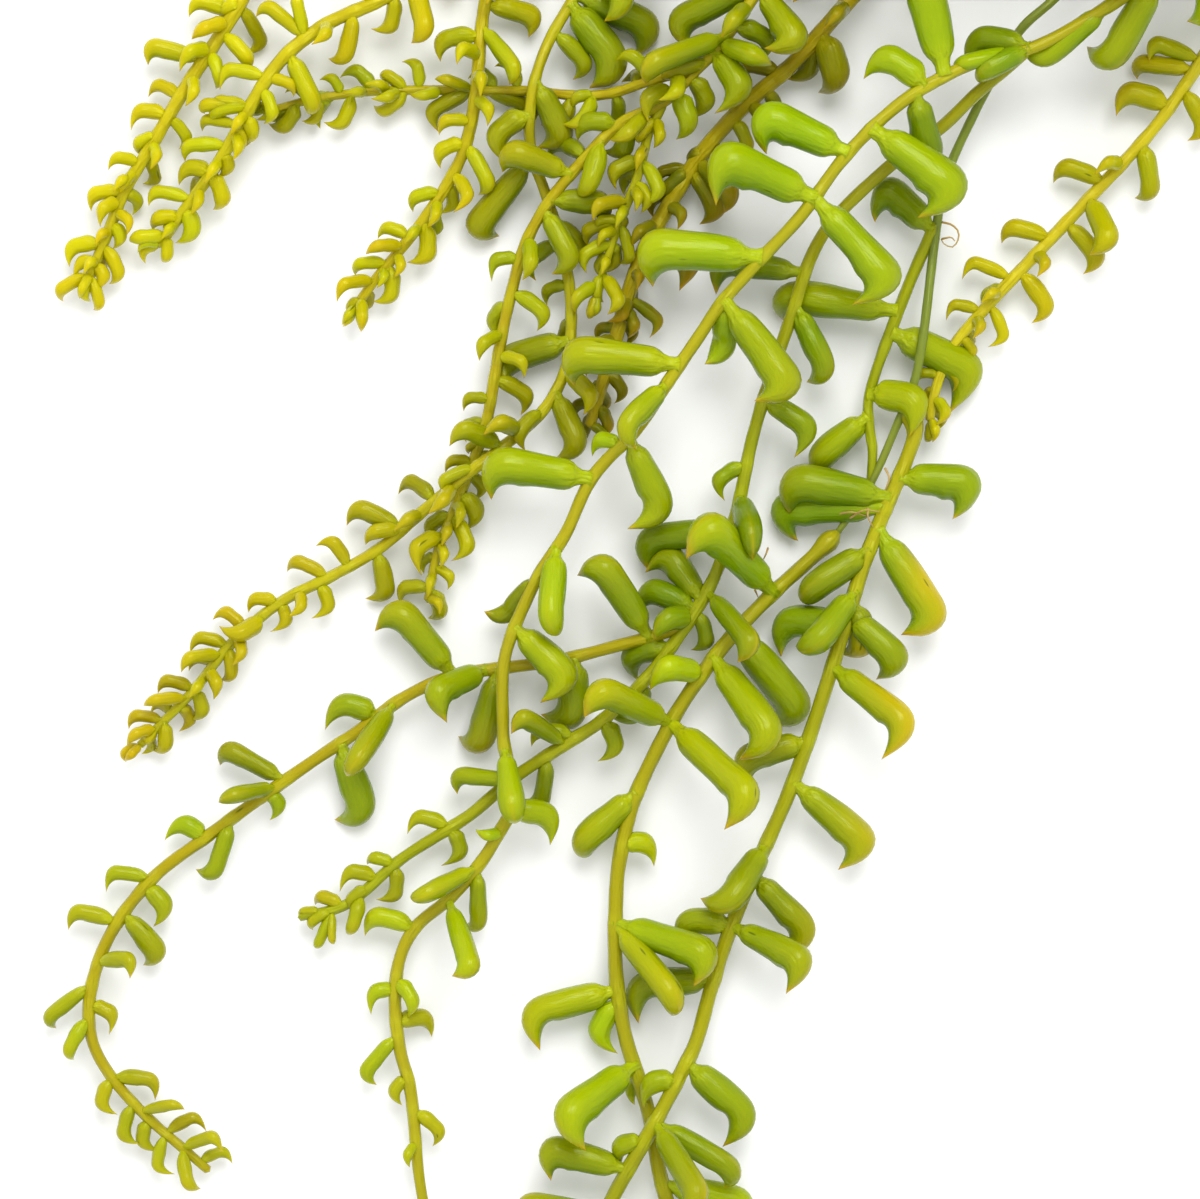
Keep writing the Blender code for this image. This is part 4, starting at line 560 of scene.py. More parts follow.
def alongCurve(points):
    # the way from the start to each point
    return np.concatenate([[0.0], np.cumsum(steps(points))])


def photoScale(height):
    # the width of one of the photo's pixels at this height
    return view["pixelSize"] * (view["height"] - height) / (view["height"] - view["planeHeight"])


def place(pixelX, pixelY, height):
    # the point at this height that shows at a pixel of the photo
    across, down = (np.array([pixelX, pixelY]) - view["middle"]) * photoScale(height)
    return np.array([photoMiddle[0] + across, photoMiddle[1] - down, height])


def pixelsOf(points):
    return (points[:, :2] - photoMiddle) * [1, -1] / photoScale(points[:, 2:3]) + view["middle"]


def roundPot(radius, angle, height):
    turn = math.radians(angle)
    return np.array([radius * math.cos(turn), radius * math.sin(turn), height]) * mm


def routePoints(route):
    # heights that the route leaves out are interpolated along it
    flat = np.array([point[:2] for point in route], float)
    along = alongCurve(flat)
    known = [index for index, point in enumerate(route) if len(point) == 3]
    heights = np.interp(along, along[known], [route[index][2] * mm for index in known])
    return [place(x, y, height) for (x, y), height in zip(flat, heights)]


def smoothCurve(points, spacing=None, count=None, perSpan=24):
    # evenly spaced points on a smooth curve through the given ones
    points = np.array(points)
    spans = np.sqrt(steps(points))
    slopes = np.diff(points, axis=0) / spans[:, None]
    rates = np.empty_like(points)
    rates[0] = slopes[0]
    rates[-1] = slopes[-1]
    both = (points[2:] - points[:-2]) / (spans[1:] + spans[:-1])[:, None]
    rates[1:-1] = slopes[:-1] + slopes[1:] - both
    t = np.linspace(0.0, 1.0, perSpan, endpoint=False)[:, None]
    dense = []
    for index, span in enumerate(spans):
        start = (1 + 2 * t) * (1 - t) ** 2 * points[index] + t * (1 - t) ** 2 * span * rates[index]
        end = t * t * (3 - 2 * t) * points[index + 1] + t * t * (t - 1) * span * rates[index + 1]
        dense.append(start + end)
    dense = np.concatenate(dense + [points[-1:]])
    along = alongCurve(dense)
    count = count or max(2, int(round(along[-1] / spacing)) + 1)
    at = np.linspace(0.0, along[-1], count)
    return np.stack([np.interp(at, along, dense[:, axis]) for axis in range(points.shape[1])], axis=1)


def overRim(strand):
    # from the strand's hole in the soil over the pot's rim
    way = [(strand["hole"] + out, height) for out, height in ways["outOfSoil"]] + list(ways["overRim"])
    if not strand["shoots"][0].get("arch"):
        way += ways["downToSurface"]
    return [roundPot(radius, strand["overRim"], height) for radius, height in way]


def sprigPoints(direction, hole, turn, hang):
    way = [(share, hole + out, height) for share, out, height in ways["sprigWay"]] + list(ways["sprigRim"])
    points = [roundPot(radius, direction + turn * (1 - share), height) for share, radius, height in way]
    for share, sway in ways["sprigHang"]:
        points.append(roundPot(ways["sprigEnd"] + share, direction + sway, way[-1][2] - hang * share))
    return points


def makeShoot(node, name, points, radius, vigour, source):
    # the shoot's curve, its tangents, which way is up on it, and the distance to its tip
    curve = smoothCurve(points, growth["step"])
    tangents = unit(np.gradient(curve, axis=0))
    toTip = np.concatenate([np.cumsum(steps(curve)[::-1])[::-1], [0.0]])
    outward = unit(curve * [1.0, 1.0, 0.0])
    steepFrom, steepSpan = growth["steep"]
    steep = np.clip((np.abs(tangents[:, 2]) - steepFrom) / steepSpan, 0.0, 1.0)[:, None]
    up = np.array([0.0, 0.0, 1.0]) * (1 - steep) + outward * steep
    up = unit(up - tangents * (up * tangents).sum(axis=1, keepdims=True))
    thin = np.clip(toTip / growth["tipTaper"], 0.0, 1.0)
    radii = np.minimum(radius, growth["tipRadius"] + (radius - growth["tipRadius"]) * thin)
    return {
        "node": node, "name": name, "curve": curve, "tangents": tangents, "up": up, "toTip": toTip,
        "radii": radii, "vigour": vigour, "taken": [], "source": source,
    }


def allShoots():
    shoots = []
    for node, strand in strands.items():
        own = []
        for index, shoot in enumerate(strand["shoots"]):
            points = routePoints(shoot["route"])
            if "off" in shoot:
                parent = own[shoot["off"]]["curve"]
                points[0] = parent[np.argmin(np.linalg.norm(parent - points[0], axis=1))]
            else:
                points = overRim(strand) + points
            radius = shoot.get("cadRadius", growth["stemRadius"])
            own.append(makeShoot(node, f"{node}_{index}", points, radius, shoot.get("vigour", 1.0), shoot))
        shoots += own
    for name, sprig in zip(sprigNames, sprigs):
        source = {"leaves": [], "leaf": "#9fb81c", "stem": "#a9ae22"}
        points = sprigPoints(*sprig)
        shoots.append(makeShoot(name, name, points, growth["stemRadius"], growth["sprigVigour"], source))
    return shoots


def leafSpheres(root, along, hook, length, girth):
    # spheres that hold a leaf, for each candidate
    facet = np.where(length < growth["largeLeaf"], growth["smallFacet"], growth["largeFacet"])[:, None]
    length, girth = length[:, None, None], girth[:, None, None]
    along, hook = along[:, None, :], hook[:, None, :]
    club = root + along * length * sphereShares[None, :, None]
    turns = np.radians(sphereBends)[None, :, None]
    beakGirths = np.interp(sphereBends, growth["beakTurns"], growth["beakGirths"])
    reach = girth * (beakGirths[None, :, None] + growth["crease"])
    heel = root + along * length + hook * girth * (1 + growth["crease"])
    beak = heel + reach * (along * np.sin(turns) - hook * np.cos(turns))
    tip = root + along * (length + girth * growth["tipAlong"]) + hook * girth * growth["tipAcross"]
    clubGirths = np.interp(sphereShares, growth["clubShares"], growth["clubGirths"])
    sizes = np.concatenate([clubGirths, beakGirths, [growth["crease"]]])
    return np.concatenate([club, beak, tip], axis=1), girth[:, :, 0] * sizes * facet + growth["halfGap"]


def potGap(centres):
    out, up = np.hypot(centres[..., 0], centres[..., 1]), centres[..., 2]
    wallIn, wallOut, wallTop = (size * mm for size in growth["potWall"])
    wall = np.hypot(np.maximum(np.maximum(wallIn - out, out - wallOut), 0), np.maximum(up - wallTop, 0))
    soil = np.hypot(np.maximum(out - wallIn, 0), np.maximum(up - growth["soilTop"] * mm, 0))
    return np.minimum(wall, soil)


def startRoom(shoots):
    radii = np.concatenate([shoot["radii"] for shoot in shoots])
    return {
        "centres": np.concatenate([shoot["curve"] for shoot in shoots]),
        "radii": radii * growth["largeFacet"] + growth["halfGap"],
        "nodes": np.concatenate([[shoot["node"]] * len(shoot["curve"]) for shoot in shoots]),
        "stems": np.ones(len(radii), bool),
    }


def roomGaps(room, centres, radii, chosen):
    apart = np.linalg.norm(centres[:, :, None, :] - room["centres"][chosen], axis=3)
    return apart - radii[:, :, None] - room["radii"][chosen]


def roomCosts(room, node, root, candidates):
    # how deep each candidate lies in its own plant, or infinity where it hits another
    centres, radii = leafSpheres(root, *candidates)
    floor = (centres[..., 2] - radii + growth["halfGap"] < growth["surfaceGap"]).any(axis=1)
    blocked = floor | (potGap(centres) < radii).any(axis=1)
    apart = np.linalg.norm(room["centres"] - root, axis=1)
    near = apart < growth["near"]
    others = near & (room["nodes"] != node)
    if others.any():
        blocked |= (roomGaps(room, centres, radii, others) < 0).any(axis=(1, 2))
    share, least = growth["ownReach"]
    own = near & (room["nodes"] == node)
    own &= ~(room["stems"] & (apart < share * candidates[2].max() + least))
    depth = np.zeros(len(radii))
    if own.any():
        depth = np.maximum(-roomGaps(room, centres[:, 1:], radii[:, 1:], own), 0).max(axis=2).sum(axis=1)
    return np.where(blocked, np.inf, depth / mm)


def addToRoom(room, leaf):
    sizes = np.array([leaf["length"]]), np.array([leaf["girth"]])
    centres, radii = leafSpheres(leaf["root"], leaf["along"][None], leaf["hook"][None], *sizes)
    for key, more in (
        ("centres", centres[0]), ("radii", radii[0]), ("nodes", [leaf["shoot"]["node"]] * len(radii[0])),
        ("stems", np.zeros(len(radii[0]), bool)),
    ):
        room[key] = np.concatenate([room[key], more])


def bestLeaf(room, shoot, at, along, lengths, rolls, strain):
    # the beak points towards the growing tip and a little down, then is rolled
    root, tangent = shoot["curve"][at], shoot["tangents"][at]
    lean = tangent - along * (along @ tangent)[:, None]
    down = np.array([0.0, 0.0, -1.0]) + along * along[:, 2:3]
    hook = unit(lean + growth["droop"] * down)
    hook = hook * np.cos(rolls)[:, None] + np.cross(along, hook) * np.sin(rolls)[:, None]
    for size in growth["sizes"]:
        girths = growth["girth"] + growth["girthPerLength"] * lengths * size
        cost = roomCosts(room, shoot["node"], root, (along, hook, lengths * size, girths)) + strain
        best = int(np.argmin(cost))
        if np.isfinite(cost[best]):
            return {
                "root": root, "along": along[best], "hook": hook[best], "length": lengths[best] * size,
                "girth": girths[best], "shoot": shoot, "at": at, "size": size,
            }
    return None


def nearestTo(shoot, pixelX, pixelY):
    # where on the shoot's curve a pixel of the photo lies
    pixels = pixelsOf(shoot["curve"])
    return int(np.argmin(np.hypot(pixels[:, 0] - pixelX, pixels[:, 1] - pixelY)))


def notedLeaf(room, shoot, noted):
    # root and heel as read from the photo; the heel may rise or sink
    at = nearestTo(shoot, *noted[:2])
    root = shoot["curve"][at]
    wanted = noted[4] if len(noted) == 5 else 0.0
    lifts, rolls = np.meshgrid(np.array(growth["liftTries"], float), growth["rollTries"])
    lifts, rolls = lifts.ravel(), rolls.ravel()
    level = place(*noted[2:4], root[2])
    heights = root[2] + math.dist(level[:2], root[:2]) * np.tan(np.radians(lifts))
    heels = np.array([place(*noted[2:4], height) for height in heights])
    lengths = np.linalg.norm(heels - root, axis=1)
    strain = np.abs(lifts - wanted) * growth["liftStrain"] + np.abs(rolls) * growth["rollStrain"]
    return bestLeaf(room, shoot, at, unit(heels - root), lengths, np.radians(rolls), strain)


def ruledLeaf(room, shoot, at, index, lean=None):
    # by the plant's rule of growth, on alternate sides of the stem
    chance = random.Random(f"{shoot['name']} {index}")
    wanted = growth["onTop"] if index % 3 == 2 else growth["onSide"]
    spread = growth["sideSpread"]
    wanted = (wanted + chance.uniform(-spread, spread)) * (1 if index % 2 else -1)
    lean = lean or growth["lean"] + chance.uniform(-growth["leanSpread"], growth["leanSpread"])
    size = chance.uniform(*growth["sizeSpread"])
    start, perLength, longest = growth["length"]
    length = min((start + perLength * shoot["toTip"][at]) * shoot["vigour"], longest) * size
    leans = [lean + more for more in growth["leanTries"]]
    offsets, leans = np.meshgrid(np.array(growth["sideTries"], float), leans)
    offsets, leans = offsets.ravel(), leans.ravel()
    sides, tilts = np.radians(wanted + offsets), np.radians(leans)[:, None]
    tangent, up = shoot["tangents"][at], shoot["up"][at]
    across = np.cross(up, tangent)
    away = np.cos(sides)[:, None] * up + np.sin(sides)[:, None] * across
    along = unit(np.cos(tilts) * tangent + np.sin(tilts) * away)
    strain = np.abs(offsets) * growth["sideStrain"] + np.abs(leans - lean) * growth["leanStrain"]
    return bestLeaf(room, shoot, at, along, np.full(len(along), length), np.zeros(len(along)), strain)


def freePlaces(shoot, closeness, widestGap=0.0, reach=None):
    # from the tip back, far enough from the leaves that the shoot has; with a reach, only so far from the
    # tip in the photo's sight
    pixels = pixelsOf(shoot["curve"])
    seen = ((pixels > -view["margin"]) & (pixels < view["size"] + view["margin"])).all(axis=1)
    start, perLength, widest = growth["gap"]
    places = []
    due = growth["firstGap"] if reach is None else 0.0
    for at in range(len(shoot["curve"]) - 1, 0, -1):
        toTip, point = shoot["toTip"][at], shoot["curve"][at]
        if point[2] < growth["soilTop"] * mm and np.hypot(*point[:2]) < growth["insidePot"]:
            break
        gap = min(start + perLength * toTip, widest)
        if not seen[at]:
            gap = max(gap, widestGap)
        if toTip < due or (seen[at] and reach is not None and toTip > reach * mm):
            continue
        if all(abs(toTip - taken) > gap * closeness for taken in shoot["taken"]):
            places.append(at)
            shoot["taken"].append(toTip)
            due = toTip + gap if reach is None else 0.0
    return places


def growLeaves(shoots):
    # those read from the photo first, then the ruled ones
    room = startRoom(shoots)
    named = {shoot["name"]: shoot for shoot in shoots}
    leaves = []
    for name in growingOrder:
        shoot = named[name]
        for index, noted in enumerate(shoot["source"]["leaves"]):
            leaf = notedLeaf(room, shoot, noted)
            if leaf:
                leaf["noted"], leaf["index"] = noted, index
                leaf["shape"] = shoot["source"].get("shapes", {}).get(index, ())
                addToRoom(room, leaf)
                shoot["taken"].append(shoot["toTip"][leaf["at"]])
                leaves.append(leaf)
    print(len(leaves), "leaves as in the photo")
    for name in growingOrder:
        if name == bareShoot:
            continue
        shoot = named[name]
        widestGap = growth["gapOnSprig"] if name.startswith("sprig") else growth["gapOutOfSight"]
        tip = ruledLeaf(room, shoot, len(shoot["curve"]) - 1, 0, growth["tipLean"])
        leaves += [tip] if tip else []
        for index, at in enumerate(freePlaces(shoot, growth["closeness"], widestGap)):
            leaf = ruledLeaf(room, shoot, at, index + 1)
            if leaf:
                leaves.append(leaf)
                addToRoom(room, leaf)
    print(len(leaves), "leaves as in the CAD")
    return room, named, leaves


def finerLeaf(shoot, note):
    # a leaf of the tufts: root, heel, half width and beak read from the photo, or estimated where a
    # neighbour hides them
    at = nearestTo(shoot, *note[:2])
    root = shoot["curve"][at]
    chance = random.Random(f"{shoot['name']} {note[:2]}")
    flat = place(*note[2:4], root[2])
    rise = note[7] if len(note) > 7 else chance.uniform(*extras["rise"])
    heel = place(*note[2:4], root[2] + math.dist(flat, root) * math.tan(math.radians(rise)))
    along = unit(heel - root)
    hook = unit(np.array([0.0, 0.0, -1.0]) + along * along[2])
    return {
        "root": root, "along": along, "hook": hook, "length": np.linalg.norm(heel - root),
        "girth": extras["girth"], "size": 1.0, "shoot": shoot, "at": at,
        "noted": note[:4], "shape": note[4:7],
    }


def growExtras(named, room):
    # finer growth than the CAD has room for: the tufts and the stems over the rim
    grown = [finerLeaf(shoot, note) for shoot in named.values() for note in shoot["source"].get("finer", ())]
    for name, reach in extras["reachMm"].items():
        shoot = named[name]
        for index, at in enumerate(freePlaces(shoot, extras["closeness"], reach=reach)):
            leaf = ruledLeaf(room, shoot, at, index + extras["firstNumber"])
            if leaf:
                grown.append(leaf)
                addToRoom(room, leaf)
    print(len(grown), "leaves in the tufts")
    return grown


extras = {
    "closeness": 0.42, "rise": (-15, 22), "girth": 0.001, "firstNumber": 200,
    "reachMm": {
        "strand_8_0": 0, "strand_7_3": 0, "strand_7_1": 0, "strand_8_1": 0, "strand_8_2": 0,
        "strand_5_0": 160, "strand_4_0": 130, "strand_3_0": 160, "strand_2_0": 160, "strand_1_0": 160,
        "strand_5_1": 90, "strand_6_0": 160, "strand_5_2": 90, "strand_9_0": 60,
    } | dict.fromkeys(sprigNames, 0),
}
growingOrder = [
    "strand_8_0", "strand_7_3", "strand_7_1", "strand_8_1", "strand_8_2", "strand_7_2", "strand_5_0",
    "strand_4_0", "strand_3_0", "strand_2_0", "strand_1_0", "strand_5_1", "strand_6_0", "strand_5_2",
    "strand_9_0", "strand_7_0", *sprigNames,
]
bareShoot = "strand_7_0"
shoots = allShoots()
room, named, leaves = growLeaves(shoots)
leaves += growExtras(named, room)


# Leaf shapes: outer and inner edge of the bent end, seen from the side in radii from the heel, towards the
# end and towards the beak, then the beak's point
hooks = {
    "curled": {
        "outer": ((-0.8, -1.0), (-0.3, -1.0), (0.2, -0.88), (0.62, -0.6), (0.86, -0.15), (0.92, 0.35),
                  (0.72, 0.9), (0.32, 1.25), (-0.1, 1.45), (-0.4, 1.56)),
        "inner": ((-1.2, 1.02), (-0.95, 1.0), (-0.75, 1.0), (-0.62, 1.03), (-0.54, 1.1), (-0.5, 1.18),
                  (-0.5, 1.27), (-0.51, 1.36), (-0.53, 1.45), (-0.55, 1.54)),
        "point": (-0.6, 1.62),
    },
    "thumb": {
        "outer": ((-0.7, -1.0), (-0.1, -1.0), (0.4, -0.88), (0.8, -0.6), (1.03, -0.15), (1.07, 0.35),
                  (0.98, 0.85), (0.78, 1.24), (0.52, 1.55), (0.28, 1.84)),
        "inner": ((-1.1, 1.06), (-0.8, 1.06), (-0.5, 1.1), (-0.3, 1.18), (-0.17, 1.28), (-0.08, 1.4),
                  (-0.02, 1.53), (0.02, 1.66), (0.05, 1.79), (0.08, 1.92)),
        "point": (0.12, 2.05),
    },
    "sickle": {
        "outer": ((-0.6, -1.0), (0.0, -0.97), (0.6, -0.80), (1.05, -0.45), (1.32, 0.05), (1.40, 0.55),
                  (1.32, 1.02), (1.15, 1.38), (0.95, 1.68), (0.78, 1.92)),
        "inner": ((-0.9, 0.96), (-0.6, 0.9), (-0.3, 0.92), (-0.05, 1.0), (0.13, 1.12), (0.27, 1.26),
                  (0.38, 1.42), (0.47, 1.58), (0.54, 1.75), (0.60, 1.93)),
        "point": (0.66, 2.1),
    },
    "crescent": {
        "outer": ((-0.75, -1.08), (-0.2, -1.03), (0.32, -0.88), (0.74, -0.54), (0.99, -0.1), (1.08, 0.34),
                  (1.08, 0.78), (1.02, 1.18), (0.92, 1.54), (0.8, 1.86)),
        "inner": ((-1.05, 0.68), (-0.8, 0.7), (-0.52, 0.75), (-0.26, 0.84), (-0.02, 0.97), (0.18, 1.14),
                  (0.35, 1.34), (0.48, 1.56), (0.57, 1.79), (0.63, 2.01)),
        "point": (0.68, 2.2),
    },
}
# how far ahead of the heel and aside of it the point shows, for each kind of hook
beakReach = {
    "ahead": (-0.9, -0.6, 0.12, 0.66, 0.95), "sickle": (-1.2, -1.0, 0.0, 1.0, 1.3),
    "aside": (1.62, 2.05, 2.1), "leastSeen": 0.35, "longest": 1.3, "from": 0.9,
}
leafBody = {
    "clubShares": (0.0, 0.04, 0.08, 0.12, 0.16, 0.2, 0.25, 0.32, 0.45, 0.55, 0.65, 0.75, 0.85),
    "clubGirths": (0.52, 0.43, 0.40, 0.41, 0.47, 0.62, 0.78, 0.86, 0.91, 0.94, 0.97, 0.99, 1.0),
    "youngGirths": (0.56, 0.45, 0.44, 0.48, 0.55, 0.63, 0.73, 0.84, 0.94, 0.96, 0.97, 0.97, 0.97),
    "slimness": (0.80, 0.14), "slimSpan": (0.008, 0.006), "crescent": (0.0105, -0.0045), "crescentBow": 0.26,
    "sickle": 0.5, "sickleSpread": 0.35, "mostCurled": -0.5, "beforeHeel": 0.35, "innerShare": 0.96,
    "depth": 0.95, "largeFrom": 0.007, "large": (26, 18), "small": (20, 12),
    "uneven": 0.03, "longWaves": (9, 14), "roundWaves": (4, 8), "roundShare": 0.7,
    "grainStretch": 0.2, "grainShift": 0.4, "boxGap": 0.00015, "bendShare": 0.4,
}
# Paint marks along a leaf, each from a share of its length and over a span of it
leafPaint = {
    "blush": 0.25, "blushSpread": (0.3, 1.4), "blushFrom": 0.45, "blushSooner": 0.35, "blushSpan": 0.4,
    "edge": 0.4, "edgeWidth": 0.03, "edgeSpan": (0.4, 0.5), "tipSpan": (0.88, 0.12), "tipCurve": 1.4,
    # the lamp's direction, the lit share and the shade tints paint shade into a leaf's tone: the side turned
    # from the lamp is darker and greener
    "neckSpan": (0.26, -0.26), "paintedLightFrom": (-0.1, 0.5, 0.86), "paintedLitShare": (0.12, 0.93),
    "paintedShadeTint": (0.4, 0.56, 0.2, 1.0), "youngPaintedShadeTint": (0.8, 0.84, 0.4, 1.0), "youngSpan": (0.0105, -0.004),
    "youngLight": 0.12, "tone": 0.7, "ownTone": ((0.93, 1.08), (0.9, 1.05), (0.8, 1.2)), "grownBy": 0.09,
    "crownTone": "#8fae10", "crownSpan": (0.13, 0.1), "crownMost": 0.8,
    "rootMarks": (0, 0, 1), "pointMarks": (0.3, 1, 0), "tiny": 1e-9,
}
# Painted shade under the plant: where on a leaf it is measured, how near beside and how much higher the parts
# over it lie, how much a stem counts, how many make it full and how dark it is painted
cover = {"middle": 0.7, "beside": 0.008, "above": 0.003, "stemShare": 0.3, "many": 3, "paintedDarkening": 0.4}


def ramp(value, start, span):
    # 0 at the start and 1 a span further on
    return np.clip((value - start) / span, 0.0, 1.0)


def seenShape(leaf, chance):
    # the leaf as the photo shows it: girth, heel, side of the beak and how far the hook opens
    length, root, along, hook = (leaf[key] for key in ("length", "root", "along", "hook"))
    source, note = leaf["shoot"]["source"], leaf.get("shape", ())
    girth = leaf["girth"] * slimness(length)
    sickle = source.get("sickle", leafBody["sickle"])
    sickle += chance.uniform(-leafBody["sickleSpread"], leafBody["sickleSpread"])
    sickle = min(max(sickle, leafBody["mostCurled"]), 1.0)
    beak = None
    if "noted" in leaf:
        length /= leaf["size"]
        heel = root + along * length
        lift = source.get("lifts", {}).get(leaf.get("index"))
        if lift is None and len(leaf["noted"]) == 5:
            lift = leaf["noted"][4]
        if lift is not None:
            level = place(*leaf["noted"][2:4], root[2])
            heel[2] = root[2] + math.dist(level, root) * math.tan(math.radians(lift))
        girth = (growth["girth"] + growth["girthPerLength"] * length) * slimness(length)
        if note:
            girth = note[0] * photoScale(heel[2])
        seen = note[3:] if len(note) == 5 else leaf["noted"][2:4]
        heel = place(*seen, max(heel[2], girth + growth["surfaceGap"]))
        length = np.linalg.norm(heel - root)
        along = unit(heel - root)
        hook = unit(hook - along * (hook @ along))
    if len(note) > 1:
        reach = place(*note[1:3], heel[2]) - heel
        ahead, aside = reach @ along / girth, reach - along * (reach @ along)
        sickle = float(np.interp(ahead, beakReach["ahead"], beakReach["sickle"]))
        full = float(np.interp(sickle, (-1, 0, 1), beakReach["aside"]))
        seen = np.linalg.norm(aside) / girth
        flat = min(max(seen / full, beakReach["leastSeen"]), 1.0)
        below = np.cross(along, unit(aside))
        below *= -1 if below[2] > 0 else 1
        hook = unit(aside) * flat + below * math.sqrt(1 - flat * flat)
        beak = min(max(seen, full), full * beakReach["longest"])
    return leaf | {
        "length": length, "girth": girth, "along": along, "hook": hook, "sickle": sickle, "beak": beak,
    }


def leafRails(leaf):
    # outer and inner edge of the whole leaf in radii from the heel, blended between the kinds of hook
    length, girth, sickle, beak = (leaf[key] for key in ("length", "girth", "sickle", "beak"))
    young = ramp(length, *leafBody["crescent"])
    bent = "sickle" if sickle > 0 else "curled"
    parts = {"crescent": young, "thumb": (1 - young) * (1 - abs(sickle)), bent: (1 - young) * abs(sickle)}
    outer, inner, point = (
        sum(np.array(hooks[kind][edge]) * part for kind, part in parts.items())
        for edge in ("outer", "inner", "point")
    )
    if beak:
        start = beakReach["from"]
        for edge in (outer, inner):
            longer = start + (edge[:, 1] - start) * (beak - start) / (point[1] - start)
            edge[:, 1] = np.where(edge[:, 1] > start, longer, edge[:, 1])
        point = np.array([point[0], beak])
    bow = leafBody["crescentBow"] * young
    rows = []
    for share, grown, fresh in zip(*(leafBody[key] for key in ("clubShares", "clubGirths", "youngGirths"))):
        u = (share - 1.0) * length / girth
        v = -bow * math.sin(math.pi * share)
        fat = grown * (1 - young) + fresh * young
        if u < inner[0][0] - leafBody["beforeHeel"]:
            rows.append((u, v - fat, u, v + fat * leafBody["innerShare"]))
    rows += [(*a, *b) for a, b in zip(outer, inner)]
    return np.array(rows), point


def slimness(length):
    # a young leaf is thinner for its length than a grown one
    least, more = leafBody["slimness"]
    return least + more * ramp(length, *leafBody["slimSpan"])


def capped(values):
    # the end points take the values of the first and the last ring
    return np.concatenate([values[:1], values, values[-1:]])


def perPoint(*values):
    # three values for each point of the rings, from ones that hold for a ring or a side
    return np.stack(np.broadcast_arrays(*values), axis=2).reshape(-1, 3)


def skinGrain(turns, radii, along, chance):
    # where each point lies in the skin's grain, which starts somewhere else on each leaf and stem
    offset = np.array([chance.uniform(0, 1) for _ in range(3)]) * leafBody["grainShift"]
    radii, along = radii[:, None], along[:, None] * leafBody["grainStretch"]
    return capped(perPoint(np.cos(turns) * radii, np.sin(turns) * radii, along)) + offset


def paintedShading(lit, paintedLitShare, shade):
    # painted shade: what to multiply a tone by, so that the side turned from the lamp is painted darker in
    # the shade's tint
    least, more = paintedLitShare
    paintedLitShare = np.clip(least + more * lit, 0, 1)[:, None]
    return shade * (1 - paintedLitShare) + paintedLitShare


def leafSurface(leaf, number):
    # points, quads and the paint marks of one leaf
    chance = random.Random(f"leaf {leaf['shoot']['name']} {number}")
    leaf = seenShape(leaf, chance)
    length, root, girth, along, hook = (leaf[key] for key in ("length", "root", "girth", "along", "hook"))
    side = np.cross(along, hook)
    count, sides = leafBody["large" if length > leafBody["largeFrom"] else "small"]
    rows, point = leafRails(leaf)
    rows = smoothCurve(rows, count=count)
    turns = np.arange(sides) * math.tau / sides
    middle, half = (rows[:, :2] + rows[:, 2:]) / 2, (rows[:, :2] - rows[:, 2:]) / 2
    path = alongCurve(middle)
    share = path / (path[-1] + np.linalg.norm(point - middle[-1]))
    waves = np.sin(share * chance.uniform(*leafBody["longWaves"]) + chance.uniform(0, 6))[:, None]
    roundIt = share[:, None] * chance.uniform(*leafBody["roundWaves"]) + chance.uniform(0, 6)
    waves = waves + leafBody["roundShare"] * np.sin(2 * turns + roundIt)
    wobble = 1 + leafBody["uneven"] * waves
    fat = np.linalg.norm(half, axis=1)
    heel = root + along * length
    u = middle[:, None, 0] + half[:, None, 0] * np.cos(turns) * wobble
    v = middle[:, None, 1] + half[:, None, 1] * np.cos(turns) * wobble
    w = -(fat * leafBody["depth"])[:, None] * np.sin(turns) * wobble
    points = heel + girth * (u[..., None] * along + v[..., None] * hook + w[..., None] * side)
    end = heel + girth * (point[0] * along + point[1] * hook)
    points = np.concatenate([[root], points.reshape(-1, 3), [end]])
    points = keepInside(points, np.concatenate([[0.0], np.repeat(share, sides), [1.0]]))
    grain = skinGrain(turns, fat * girth, path * girth, chance)
    marks = leafMarks(leaf, turns, share, chance)
    centres = np.repeat(points[1:-1].reshape(count, sides, 3).mean(axis=1), sides, axis=0)
    outwards = points - np.concatenate([points[:1], centres, points[-1:]])
    young = ramp(length, *leafPaint["youngSpan"])
    # the tint of the painted shade, milder on a young leaf
    shade = np.array(leafPaint["paintedShadeTint"]) * (1 - young) + np.array(leafPaint["youngPaintedShadeTint"]) * young
    # painted shade where more of the plant lies over the leaf, and a young leaf lighter in tone
    darkPatchAndPaintedShade, light = 1 - cover["paintedDarkening"] * leaf["cover"], 1 + leafPaint["youngLight"] * young
    tone = leafTone(leaf, chance) * [darkPatchAndPaintedShade, darkPatchAndPaintedShade, darkPatchAndPaintedShade, 1.0] * [light, light, light, 1.0]
    # painted shade: the side of the leaf turned from the lamp is darker and greener
    lit = unit(outwards + leafPaint["tiny"]) @ leafPaint["paintedLightFrom"]
    tones = tone * paintedShading(lit, leafPaint["paintedLitShare"], shade)
    return points, tubeFaces(count, sides), tones, grain, marks


